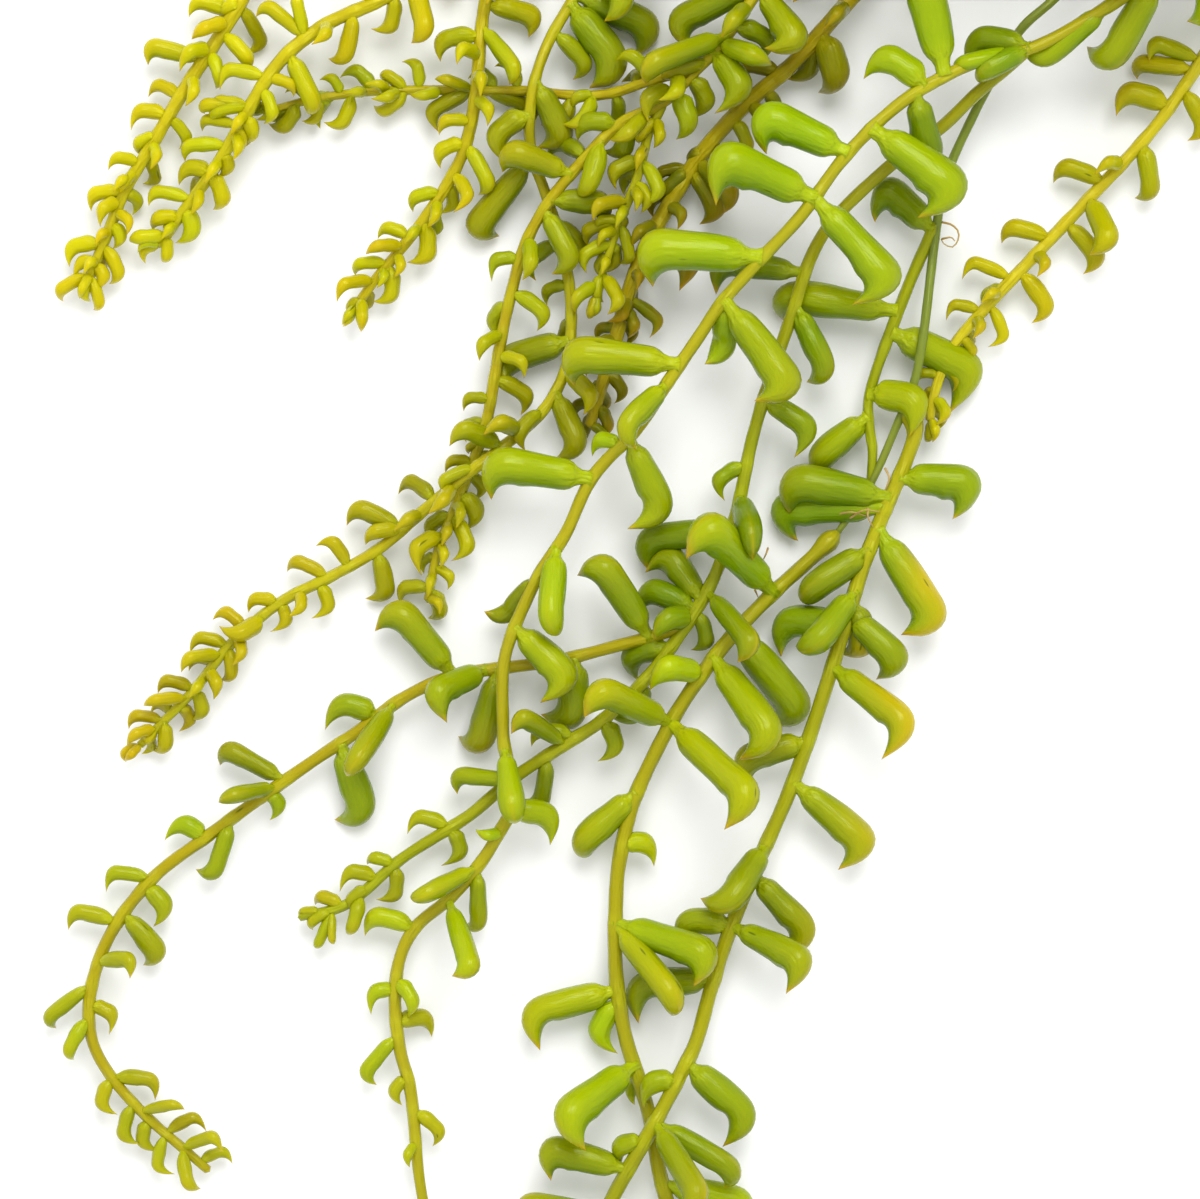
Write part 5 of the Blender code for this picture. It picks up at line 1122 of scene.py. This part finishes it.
def leafMarks(leaf, turns, share, chance):
    # flush on the outer side and along the keel, then the tip and the neck
    source = leaf["shoot"]["source"]
    blush = source.get("blush", leafPaint["blush"]) * chance.uniform(*leafPaint["blushSpread"])
    blush = source.get("blushes", {}).get(leaf.get("index"), blush)
    keel = np.exp(-((turns + math.pi) % math.tau - math.pi) ** 2 / leafPaint["edgeWidth"])
    keel = leafPaint["edge"] * keel * ramp(share, *leafPaint["edgeSpan"])[:, None]
    start = leafPaint["blushFrom"] - leafPaint["blushSooner"] * min(blush, 1.0) ** 2
    rise = ramp(share, start, leafPaint["blushSpan"])[:, None]
    flush = np.clip(blush * rise * (0.5 + 0.5 * np.cos(turns)) + keel, 0, 1)
    tip = ramp(share, *leafPaint["tipSpan"]) ** leafPaint["tipCurve"]
    # the neck, painted paler: its own colour together with a painted highlight
    neck = ramp(share, *leafPaint["neckSpan"])
    marks = perPoint(flush, tip[:, None], neck[:, None])
    return np.concatenate([[leafPaint["rootMarks"]], marks, [leafPaint["pointMarks"]]])


def keepInside(points, share):
    # a leaf bends away from the table and stays within the part's size
    low, high = np.array(cadBox[0]) + leafBody["boxGap"], np.array(cadBox[1]) - leafBody["boxGap"]
    push = np.maximum(low - points.min(axis=0), 0) - np.maximum(points.max(axis=0) - high, 0)
    points = points + push * ramp(share[:, None], 0.0, leafBody["bendShare"])
    return np.clip(points, low, high)


def leafTone(leaf, chance):
    # yellower near the growing tip, greener with age, and each leaf a little its own
    source, toTip = leaf["shoot"]["source"], leaf["shoot"]["toTip"][leaf["at"]]
    crown = np.array(hexColour(source.get("crown", leafPaint["crownTone"])))
    young, grown = (np.array(hexColour(source.get(age, source["leaf"]))) for age in ("young", "leaf"))
    tone = young + (grown - young) * min(toTip / leafPaint["grownBy"], 1.0)
    tone = tone + (crown - tone) * min(ramp(toTip, *leafPaint["crownSpan"]), leafPaint["crownMost"])
    own = leafPaint["tone"] * np.array([chance.uniform(*limits) for limits in leafPaint["ownTone"]])
    return np.clip(tone * [*own, 1], 0, 1)


def paintOcclusionShade(leaves, shoots):
    # how much of the plant lies over each leaf, for the painted shade: a leaf with more of the plant above it
    # is painted darker
    middles = np.array([leaf["root"] + leaf["along"] * leaf["length"] * cover["middle"] for leaf in leaves])
    stems = np.concatenate([shoot["curve"] for shoot in shoots])
    for leaf, middle in zip(leaves, middles):
        over = 0.0
        for others, share in ((middles, 1.0), (stems, cover["stemShare"])):
            beside = np.hypot(others[:, 0] - middle[0], others[:, 1] - middle[1]) < cover["beside"]
            over += share * (beside & (others[:, 2] > middle[2] + cover["above"])).sum()
        leaf["cover"] = 1 - math.exp(-over / cover["many"])


def tubeFaces(count, sides):
    # a point, rings, and a point again
    ring = np.arange(sides)
    beside = (ring + 1) % sides
    start = np.stack([0 * ring, 1 + beside, 1 + ring], axis=1)
    low = 1 + np.arange(count - 1)[:, None] * sides
    quads = np.stack([low + ring, low + beside, low + sides + beside, low + sides + ring], axis=2)
    last = 1 + (count - 1) * sides
    end = np.stack([np.full(sides, last + sides), last + ring, last + beside], axis=1)
    return start.tolist() + quads.reshape(-1, 4).tolist() + end.tolist()


def ringsRound(first, second, turns):
    # directions all round a curve, from two that stand across it
    return np.cos(turns)[None, :, None] * first[:, None] + np.sin(turns)[None, :, None] * second[:, None]


def paintedMesh(name, surfaces, slotName, node):
    # one piece from many surfaces, with its paint marks, standing for its node
    points, faces, tones, grains, marks = zip(*surfaces)
    starts = np.cumsum([0] + [len(own) for own in points]).tolist()
    joined = [[corner + start for corner in face] for own, start in zip(faces, starts) for face in own]
    mesh = bpy.data.meshes.new(name)
    mesh.from_pydata(np.concatenate(points).tolist(), [], joined)
    for label, kind, key, values in (
        ("tone", "FLOAT_COLOR", "color", tones), ("grain", "FLOAT_VECTOR", "vector", grains),
        ("marks", "FLOAT_VECTOR", "vector", marks),
    ):
        attribute = mesh.attributes.new(label, kind, "POINT")
        attribute.data.foreach_set(key, np.concatenate(values).astype(np.float32).ravel())
    mesh.shade_smooth()
    mesh.materials.append(leafSkins[slotName])
    addObject(name, mesh, node)


stemBody = {
    "mm": 1.2, "spacing": 0.0012, "sides": 12, "swelling": 0.09, "swellingWidth": 0.0016, "tipShare": 0.68,
    "taper": 0.04, "taperCurve": 0.7, "uneven": 0.02, "unevenWaves": 900, "branchSpan": 0.0014,
    "branchLeast": 0.2, "knuckleAt": 0.0026, "knuckleWidth": 0.0022, "ridges": 0.018, "ridgeCount": 4,
    "ridgeTurn": 0.5, "ridgeFades": (0.6, 0.4), "ridgeWaves": 240, "ends": (0.3, 0.6), "tone": 0.7,
    # the lit share and the shade tint paint shade on the side of a stem turned from the lamp
    "crownTone": "#a49c18", "crownSpan": (0.13, 0.1), "crownMost": 0.7, "paintedLitShare": (0.24, 0.84),
    "paintedShadeTint": (0.62, 0.74, 0.45, 1.0), "brown": 0.3, "brownFades": 0.25, "brownWaves": 60, "knotPalerAndHighlight": 0.5,
}


def stemSurface(shoot, knots):
    # a shoot's stem: it thins towards the growing tip and swells where each leaf stands
    chance = random.Random(f"stem {shoot['name']}")
    source, curve = shoot["source"], shoot["curve"]
    if "beyond" in source:
        pixelX, pixelY, height = source["beyond"]
        curve = np.concatenate([curve[:-1], [place(pixelX, pixelY, height * mm)]])
    curve = smoothCurve(curve, stemBody["spacing"])
    tangents = unit(np.gradient(curve, axis=0))
    known = np.arange(len(shoot["curve"]))
    at = np.linspace(0, len(known) - 1, len(curve))
    ups = np.stack([np.interp(at, known, shoot["up"][:, axis]) for axis in range(3)], axis=1)
    ups = unit(ups - tangents * (ups * tangents).sum(axis=1, keepdims=True))
    toTip = np.interp(at, known, shoot["toTip"])
    tipShare = stemBody["tipShare"]
    thin = tipShare + (1 - tipShare) * ramp(toTip, 0, stemBody["taper"]) ** stemBody["taperCurve"]
    nearKnot = np.zeros(len(curve))
    for knot in knots:
        nearKnot = np.maximum(nearKnot, np.exp(-((toTip - knot) / stemBody["swellingWidth"]) ** 2))
    radii = source.get("stemMm", stemBody["mm"]) * mm * thin * (1 + stemBody["swelling"] * nearKnot)
    radii *= 1 + stemBody["uneven"] * np.sin(toTip * stemBody["unevenWaves"] + chance.uniform(0, 6))
    fromStart = toTip[0] - toTip
    if "off" in source:
        radii *= np.sqrt(np.clip(fromStart / stemBody["branchSpan"], stemBody["branchLeast"], 1))
    if "knuckle" in source:
        beside = (fromStart - stemBody["knuckleAt"]) / stemBody["knuckleWidth"]
        radii *= 1 + source["knuckle"] * np.exp(-beside ** 2)
    sides = stemBody["sides"]
    turns = np.arange(sides) * math.tau / sides
    steady, fading = stemBody["ridgeFades"]
    fades = (steady + fading * np.sin(toTip * stemBody["ridgeWaves"]))[:, None]
    ridges = np.sin(turns * stemBody["ridgeCount"] + stemBody["ridgeTurn"])
    ridged = 1 + stemBody["ridges"] * ridges * fades
    rings = ringsRound(ups, -np.cross(ups, tangents), turns)
    points = curve[:, None] + rings * (radii[:, None] * ridged)[..., None]
    startCap, endCap = stemBody["ends"]
    first, last = curve[0] - tangents[0] * radii[0] * startCap, curve[-1] + tangents[-1] * radii[-1] * endCap
    points = np.concatenate([[first], points.reshape(-1, 3), [last]])
    points = keepInside(points, np.zeros(len(points)))
    grain = skinGrain(turns, radii, fromStart, chance)
    # painted shade: the side of the stem turned from the lamp is darker
    lit = unit(points[1:-1].reshape(len(curve), sides, 3) - curve[:, None]) @ leafPaint["paintedLightFrom"]
    crown = np.repeat(np.minimum(ramp(toTip, *stemBody["crownSpan"]), stemBody["crownMost"]), sides)
    tone = np.array(hexColour(source["stem"])) * [*(stemBody["tone"],) * 3, 1.0]
    tone = tone + (np.array(hexColour(stemBody["crownTone"])) - tone) * capped(crown)[:, None]
    tones = tone * paintedShading(capped(lit.reshape(-1)), stemBody["paintedLitShare"], np.array(stemBody["paintedShadeTint"]))
    fades = stemBody["brownFades"] * (1 + np.sin(toTip * stemBody["brownWaves"] + chance.uniform(0, 6)))
    flush = fades * source.get("brown", stemBody["brown"])
    # the knots take the neck's paler colour: their own colour together with a painted highlight
    marks = np.stack([flush, 0 * flush, nearKnot * stemBody["knotPalerAndHighlight"]], axis=1)
    return points, tubeFaces(len(curve), sides), tones, grain, capped(np.repeat(marks, sides, axis=0))


# Dry roots that the old stem and the shoots' first nodes put out: pixel, pixel, height in mm
dryRoots = {
    "node": "strand_7", "tone": "#b08a5c", "radius": 0.00022, "tipShare": 0.4, "rings": 12, "sides": 6,
    "ways": (
        ((941, 222, 7), (952, 225, 8), (958.5, 232, 8.5), (958, 240, 8), (952.5, 247, 7), (944, 244, 6.5),
         (941, 239, 6.5)),
        ((942, 239, 6.5), (951, 237.5, 7.5), (955, 241, 7)),
        ((885, 468, 11), (889, 478, 11.5), (885, 490, 11)),
        ((868, 508, 10), (868, 517, 10.5), (873, 527, 10)),
        ((768, 548, 6), (766, 554, 7), (763, 560, 5.5)), ((755, 590, 6), (758, 597, 4)),
        ((838, 514, 8), (852, 512, 10), (866, 516, 9)), ((850, 518, 8.5), (864, 510, 10.5), (880, 512, 10)),
    ),
}


def rootSurface(way):
    # a wiry root that thins to its end
    curve = smoothCurve([place(x, y, height * mm) for x, y, height in way], count=dryRoots["rings"])
    tangents = unit(np.gradient(curve, axis=0))
    across = unit(np.cross(tangents, [0.0, 0.0, 1.0]))
    sides = dryRoots["sides"]
    radii = dryRoots["radius"] * np.linspace(1.0, dryRoots["tipShare"], len(curve))[:, None, None]
    rings = ringsRound(across, np.cross(across, tangents), np.arange(sides) * math.tau / sides)
    points = np.concatenate([curve[:1], (curve[:, None] + rings * radii).reshape(-1, 3), curve[-1:]])
    tones = np.repeat([hexColour(dryRoots["tone"])], len(points), axis=0)
    return points, tubeFaces(len(curve), sides), tones, points, np.zeros((len(points), 3))


def shown(leaf):
    # where the photo shows every leaf of a shoot, a guessed one is left out
    if "noted" in leaf or leaf["shoot"]["name"] not in wholeInPhoto:
        return True
    pixel = pixelsOf(leaf["root"][None])[0]
    return not ((pixel > 0).all() and (pixel < view["size"]).all())


wholeInPhoto = ("strand_8_0", "strand_7_3", "strand_7_1", "strand_7_2", "strand_8_1", "strand_8_2")
slotOf = {
    "strand_1": "young_leaf", "strand_2": "young_leaf", "strand_3": "young_leaf", "strand_6": "flushed_leaf",
    "strand_9": "flushed_leaf", "strand_8": "bright_leaf",
}
paintOcclusionShade(leaves, shoots)
for node in [*strands, *sprigNames]:
    slotName = slotOf.get(node, "green_leaf")
    ownLeaves = [leaf for leaf in leaves if leaf["shoot"]["node"] == node and shown(leaf)]
    stems = [
        stemSurface(shoot, [shoot["toTip"][leaf["at"]] for leaf in ownLeaves if leaf["shoot"] is shoot])
        for shoot in shoots if shoot["node"] == node
    ]
    if node == dryRoots["node"]:
        stems += [rootSurface(way) for way in dryRoots["ways"]]
    paintedMesh(f"{node}.stem", stems, slotName, node)
    surfaces = [leafSurface(leaf, number) for number, leaf in enumerate(ownLeaves)]
    paintedMesh(f"{node}.leaves", surfaces, slotName, node)
print("stems and leaves grown")


# Terracotta: red earthenware thrown on a wheel and fired once, unglazed, so it is matt and chalky, with
# faint rings from the thrower's fingers, and mineral bloom low down, where water dries. A wave node draws a
# ring every tau / 20 of its units
clay = {
    "body": "#a25836", "light": "#b8754e", "dark": "#824327", "bloom": "#d9cbb8", "grit": "#7c4430",
    "patchMm": 22.0, "patchRange": (0.3, 0.7), "bodyShare": 0.55, "gritMm": 0.9, "gritRange": (0.6, 0.75),
    "gritShare": 0.35, "bloomMm": 1000 / 62, "bloomRange": (0.50, 0.66), "bloomShare": 0.75,
    "bloomRoughness": 0.65, "bloomHeights": (0.002, 0.030, 1.0, 0.15),
    "fingerMm": 6.708, "fingerWave": math.tau / 20, "fingerWobble": 1.2, "roughness": (0.78, 0.92),
    "gritRelief": 0.35, "bump": 0.5, "bumpMm": 0.3, "specular": 0.25, "sides": 144,
    "outside": ((0, 0), (31.5, 0), (32.9, 0.3), (33.9, 1.2), (36.0, 9.5), (38.4, 23.0), (41.2, 39.0),
                (43.6, 52.5), (44.9, 60.0), (45.4, 62.6), (46.2, 63.6), (48.0, 64.0), (49.1, 64.8),
                (49.5, 66.2), (49.7, 72.0), (49.9, 78.4), (49.7, 80.4), (48.9, 81.6), (47.8, 81.9),
                (46.7, 81.5), (46.0, 80.6), (45.7, 78.0), (45.5, 72.0), (45.4, 65.0)),
    "inside": ((42.0, 48.0), (38.0, 30.0), (33.5, 10.0), (32.0, 7.2), (30.0, 6.2), (0, 6.0)),
    "drainHoles": 3, "drainRadius": 4.0, "drainCircle": 14.0, "drainDepth": 20.0, "drainSides": 32,
    "sharpFrom": 40.0,
}


def makeClay():
    material, tree, shader = startMaterial("terracotta, thrown and fired, unglazed")
    spot = addNode(tree, "ShaderNodeTexCoord", {}, "Object")
    patches, grit, salts = (
        addNode(tree, "ShaderNodeTexNoise", {"Vector": spot, "Scale": 1000 / clay[size]} | more)
        for size, more in (
            ("patchMm", {"Detail": 5.0}), ("gritMm", {"Detail": 2.0}),
            ("bloomMm", {"Detail": 6.0, "Roughness": clay["bloomRoughness"]}),
        )
    )
    rings = {"Vector": spot, "Scale": 1000 * clay["fingerWave"] / clay["fingerMm"], "Detail": 2.0}
    rings |= {"Distortion": clay["fingerWobble"]}
    rings = addNode(tree, "ShaderNodeTexWave", rings, "Fac", bands_direction="Z")
    height = addNode(tree, "ShaderNodeSeparateXYZ", {0: spot}, 2)
    patched, gritty, salted, low, roughness = (
        addNode(tree, "ShaderNodeMapRange", dict(enumerate(row))) for row in (
            (patches, *clay["patchRange"], 0.0, 1.0), (grit, *clay["gritRange"], 0.0, clay["gritShare"]),
            (salts, *clay["bloomRange"], 0.0, clay["bloomShare"]), (height, *clay["bloomHeights"]),
            (patches, *clay["patchRange"], *clay["roughness"]),
        )
    )
    bloom = addNode(tree, "ShaderNodeMath", {0: salted, 1: low}, operation="MULTIPLY")
    colour = hexColour(clay["dark"])
    for share, name in ((patched, "light"), (clay["bodyShare"], "body"), (gritty, "grit"), (bloom, "bloom")):
        mix = {0: share, 6: colour, 7: hexColour(clay[name])}
        colour = addNode(tree, "ShaderNodeMix", mix, 2, data_type="RGBA")
    relief = {0: grit, 1: clay["gritRelief"], 2: rings}
    relief = addNode(tree, "ShaderNodeMath", relief, operation="MULTIPLY_ADD")
    bump = {"Height": relief, "Strength": clay["bump"], "Distance": clay["bumpMm"] * mm}
    feed(tree, shader, {
        "Base Color": colour, "Roughness": roughness, "Specular IOR Level": clay["specular"],
        "Normal": addNode(tree, "ShaderNodeBump", bump),
    })
    return material


def meshFrom(name, work):
    mesh = bpy.data.meshes.new(name)
    work.to_mesh(mesh)
    work.free()
    return mesh


def turnedMesh(name, profile, sides):
    # a profile turned on the wheel; where it meets the axis it closes in a point
    work = bmesh.new()
    angles = [math.tau * side / sides for side in range(sides)]
    rings = []
    for radius, height in profile:
        spots = [(radius * mm * math.cos(angle), radius * mm * math.sin(angle)) for angle in angles]
        spots = spots if radius else [(0.0, 0.0)]
        rings.append([work.verts.new((x, y, height * mm)) for x, y in spots])
    for low, high in zip(rings, rings[1:]):
        for side in range(sides):
            beside = (side + 1) % sides
            corners = [low[side % len(low)], low[beside % len(low)]]
            corners += [high[beside % len(high)], high[side % len(high)]]
            work.faces.new(list(dict.fromkeys(corners)))
    bmesh.ops.recalc_face_normals(work, faces=work.faces)
    return meshFrom(name, work)


def makePot():
    # the drain holes are cut out of the turned body
    profile = clay["outside"] + clay["inside"]
    body = addObject("turned body", turnedMesh("turned body", profile, clay["sides"]))
    drains = bmesh.new()
    radius, circle = clay["drainRadius"] * mm, clay["drainCircle"] * mm
    for hole in range(clay["drainHoles"]):
        turn = math.tau * (hole + 0.5) / clay["drainHoles"]
        made = bmesh.ops.create_cone(
            drains, cap_ends=True, segments=clay["drainSides"], radius1=radius, radius2=radius,
            depth=clay["drainDepth"] * mm,
        )
        spot = (circle * math.cos(turn), circle * math.sin(turn), 0.0)
        bmesh.ops.translate(drains, verts=made["verts"], vec=spot)
    cutter = addObject("drains", meshFrom("drains", drains))
    cut = body.modifiers.new("drain holes", "BOOLEAN")
    cut.operation = "DIFFERENCE"
    cut.object = cutter
    mesh = bpy.data.meshes.new_from_object(body.evaluated_get(bpy.context.evaluated_depsgraph_get()))
    bpy.data.objects.remove(body, do_unlink=True)
    bpy.data.objects.remove(cutter, do_unlink=True)
    mesh.shade_smooth()
    mesh.set_sharp_from_angle(angle=math.radians(clay["sharpFrom"]))
    mesh.materials.clear()
    mesh.materials.append(makeClay())
    addObject("pot.body", mesh, "pot")


makePot()
print("pot turned")


# Potting soil: screened peat, bark and grit, filled in by hand, so it is dark, crumbly and matt. Each kind of
# crumb has its stuff, colours, share, and smallest and largest radius
soil = {
    "dark": "#1e150e", "brown": "#3a2a1c", "speckMm": 1.1, "crumbSpeckMm": 0.6, "clodSpecks": 6,
    "speckRange": (0.35, 0.65, 0.0, 1.0), "clodRange": (0.35, 0.7, 0.5, 0.0),
    "bump": 0.7, "bumpMm": 0.4, "roughness": 0.95,
    "edge": 45.0, "top": 72.6, "middle": 73.3, "highest": 74.4, "underside": 60.0, "undersideShare": 0.985,
    "rings": 34, "sides": 150, "bumps": 260, "bumpWidths": (0.0012, 0.004), "bumpHeights": (-0.0009, 0.0006),
    "crumbs": 430, "crumbHighest": 75.2, "lift": 0.1, "fromWall": 1.3,
    "lump": 0.16, "lumpWaves": (4200, 3700), "lumpSpread": 0.07,
}
crumbKinds = {
    "crumbs": ("peat crumbs, screened", ("#1e150e", "#3a2a1c"), 0.55, (0.0007, 0.0019)),
    "bark": ("bark chips, shredded", ("#3a2a1c", "#5a3d26"), 0.25, (0.0010, 0.0026)),
    "perlite": ("perlite, expanded by heat", ("#d9d5cb", "#f0eee8"), 0.12, (0.0007, 0.0016)),
    "grit": ("stone grit, crushed", ("#8b7f70", "#b0a796"), 0.08, (0.0006, 0.0013)),
}
# how far a crumb is stretched along, across and upwards; bark is a chip
crumbShapes = {"crumb": ((0.7, 1.3), (0.6, 1.1), (0.4, 0.7)), "bark": ((1.2, 1.9), (0.5, 0.8), (0.25, 0.45))}


def makeEarth(name, colours, speckMm):
    material, tree, shader = startMaterial(name)
    spot = addNode(tree, "ShaderNodeTexCoord", {}, "Object")
    specks, clods = (
        addNode(tree, "ShaderNodeTexNoise", {"Vector": spot, "Scale": 1000 / size, "Detail": detail})
        for size, detail in ((speckMm, 4.0), (speckMm * soil["clodSpecks"], 3.0))
    )
    dark, light = (hexColour(colour) for colour in colours)
    colour = dark
    for noise, span, over in ((specks, "speckRange", light), (clods, "clodRange", dark)):
        share = addNode(tree, "ShaderNodeMapRange", dict(enumerate((noise, *soil[span]))))
        mix = {0: share, 6: colour, 7: over}
        colour = addNode(tree, "ShaderNodeMix", mix, 2, data_type="RGBA")
    bump = {"Height": specks, "Strength": soil["bump"], "Distance": soil["bumpMm"] * mm}
    feed(tree, shader, {
        "Base Color": colour, "Roughness": soil["roughness"], "Normal": addNode(tree, "ShaderNodeBump", bump),
    })
    return material


def soilHeight(x, y, bumps):
    out = math.hypot(x, y) / (soil["edge"] * mm)
    height = (soil["middle"] + (soil["top"] - soil["middle"]) * out ** 2) * mm
    for bumpX, bumpY, wide, tall in bumps:
        height += tall * math.exp(-((x - bumpX) ** 2 + (y - bumpY) ** 2) / wide ** 2)
    return height


def onCircle(radius, turn):
    return radius * math.cos(turn), radius * math.sin(turn)


def makeBed(chance):
    # the top of the soil with its low humps and hollows, closed below
    bumps = []
    for _ in range(soil["bumps"]):
        turn, out = chance.uniform(0, math.tau), soil["edge"] * mm * math.sqrt(chance.uniform(0, 1))
        size = chance.uniform(*soil["bumpWidths"]), chance.uniform(*soil["bumpHeights"])
        bumps.append((*onCircle(out, turn), *size))
    sides, highest, underside = soil["sides"], soil["highest"] * mm, soil["underside"] * mm
    points = [(0.0, 0.0, soilHeight(0, 0, bumps))]
    for ring in range(1, soil["rings"] + 1):
        radius = soil["edge"] * mm * ring / soil["rings"]
        for side in range(sides):
            x, y = onCircle(radius, math.tau * side / sides)
            points.append((x, y, min(soilHeight(x, y, bumps), highest)))
    share = soil["undersideShare"]
    points += [(share * x, share * y, underside) for x, y, _ in points[-sides:]] + [(0.0, 0.0, underside)]
    mesh = bpy.data.meshes.new("soil.bed")
    mesh.from_pydata(points, [], [face[::-1] for face in tubeFaces(soil["rings"] + 1, sides)])
    mesh.shade_smooth()
    colours = soil["dark"], soil["brown"]
    mesh.materials.append(makeEarth("potting soil, peat and bark", colours, soil["speckMm"]))
    addObject("soil.bed", mesh, "soil")
    return bumps


def addCrumb(work, name, size, bumps, chance):
    # one lumpy crumb, laid on the bed
    turn = chance.uniform(0, math.tau)
    out = (soil["edge"] * mm - size * soil["fromWall"]) * math.sqrt(chance.uniform(0, 1))
    x, y = onCircle(out, turn)
    made = bmesh.ops.create_icosphere(work, subdivisions=2, radius=size)
    flat = [chance.uniform(*limits) for limits in crumbShapes["crumb"]]
    if name in crumbShapes:
        flat = [chance.uniform(*limits) for limits in crumbShapes[name]]
    spin = chance.uniform(0, math.tau)
    height = min(soilHeight(x, y, bumps) + size * soil["lift"], soil["crumbHighest"] * mm)
    alongWaves, acrossWaves = soil["lumpWaves"]
    for vert in made["verts"]:
        lump = math.sin(vert.co.x * alongWaves + spin * 3) * math.cos(vert.co.y * acrossWaves + spin)
        lump = 1 + soil["lump"] * lump + chance.uniform(-soil["lumpSpread"], soil["lumpSpread"])
        far, wide, tall = (part * stretch * lump for part, stretch in zip(vert.co, flat))
        alongX, alongY = onCircle(far, spin)
        acrossX, acrossY = onCircle(wide, spin + math.pi / 2)
        vert.co = (x + alongX + acrossX, y + alongY + acrossY, height + tall)


def makeSoil():
    chance = random.Random("soil")
    bumps = makeBed(chance)
    for name, (stuff, colours, part, sizes) in crumbKinds.items():
        work = bmesh.new()
        for _ in range(int(soil["crumbs"] * part)):
            addCrumb(work, name, chance.uniform(*sizes), bumps, chance)
        mesh = meshFrom(f"soil.{name}", work)
        mesh.shade_smooth()
        mesh.materials.append(makeEarth(stuff, colours, soil["crumbSpeckMm"]))
        addObject(f"soil.{name}", mesh, "soil")


makeSoil()
print("soil filled")


# Studio: a white melamine table top, moulded and pressed smooth, a big soft light from the photo's top edge
# and white light all round
studio = {
    "table": "#f5f5f5", "clouds": "#f0f0f0", "cloudScale": 9.0, "cloudRange": (0.3, 0.7), "tableSize": 3,
    "tableRoughness": 0.6, "tableSpecular": 0.2, "keyWatts": 8.5, "keySize": 0.62, "keyDistance": 1.1,
    "keyRise": 58.0, "keyAside": 0.12, "worldStrength": 1.12, "sensor": 36.0,
}


def makeTable():
    material, tree, shader = startMaterial("white melamine, pressed smooth")
    spot = addNode(tree, "ShaderNodeTexCoord", {}, "Object")
    clouds = {"Vector": spot, "Scale": studio["cloudScale"], "Detail": 3.0}
    clouds = addNode(tree, "ShaderNodeTexNoise", clouds)
    share = addNode(tree, "ShaderNodeMapRange", dict(enumerate((clouds, *studio["cloudRange"]))))
    mix = {0: share, 6: hexColour(studio["table"]), 7: hexColour(studio["clouds"])}
    feed(tree, shader, {
        "Base Color": addNode(tree, "ShaderNodeMix", mix, 2, data_type="RGBA"),
        "Roughness": studio["tableRoughness"], "Specular IOR Level": studio["tableSpecular"],
    })
    mesh = bpy.data.meshes.new("table")
    far = studio["tableSize"]
    mesh.from_pydata([(-far, -far, 0), (far, -far, 0), (far, far, 0), (-far, far, 0)], [], [(0, 1, 2, 3)])
    mesh.materials.append(material)
    return addObject("table", mesh)


def makeStudio():
    table = makeTable()
    middle = place(*view["middle"], 0.0)
    camera = addObject("camera", bpy.data.cameras.new("camera"))
    camera.location = (middle[0], middle[1], view["height"])
    camera.data.sensor_width = studio["sensor"]
    far, wide = view["height"] - view["planeHeight"], view["size"] * view["pixelSize"]
    camera.data.lens = studio["sensor"] * far / wide
    lamp = bpy.data.lights.new("soft key", "AREA")
    lamp.energy, lamp.size = studio["keyWatts"], studio["keySize"]
    key = addObject("soft key", lamp)
    rise, reach = math.radians(studio["keyRise"]), studio["keyDistance"]
    aside, back = middle[0] + studio["keyAside"], middle[1] + reach * math.cos(rise)
    key.location = (aside, back, reach * math.sin(rise))
    key.rotation_euler = (rise - math.pi / 2, 0.0, 0.0)
    world = bpy.data.worlds.new("white room")
    world.use_nodes = True
    background = world.node_tree.nodes["Background"]
    feed(world.node_tree, background, {0: (1.0, 1.0, 1.0, 1.0), 1: studio["worldStrength"]})
    scene = bpy.context.scene
    scene.camera, scene.world = camera, world
    scene.view_settings.view_transform = "Standard"


makeStudio()
print("studio lit")

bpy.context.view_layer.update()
meshes = [piece.data for piece in bpy.data.objects if piece.type == "MESH" and piece.visible_get()]
print("triangles:", sum(len(face.vertices) - 2 for mesh in meshes for face in mesh.polygons))
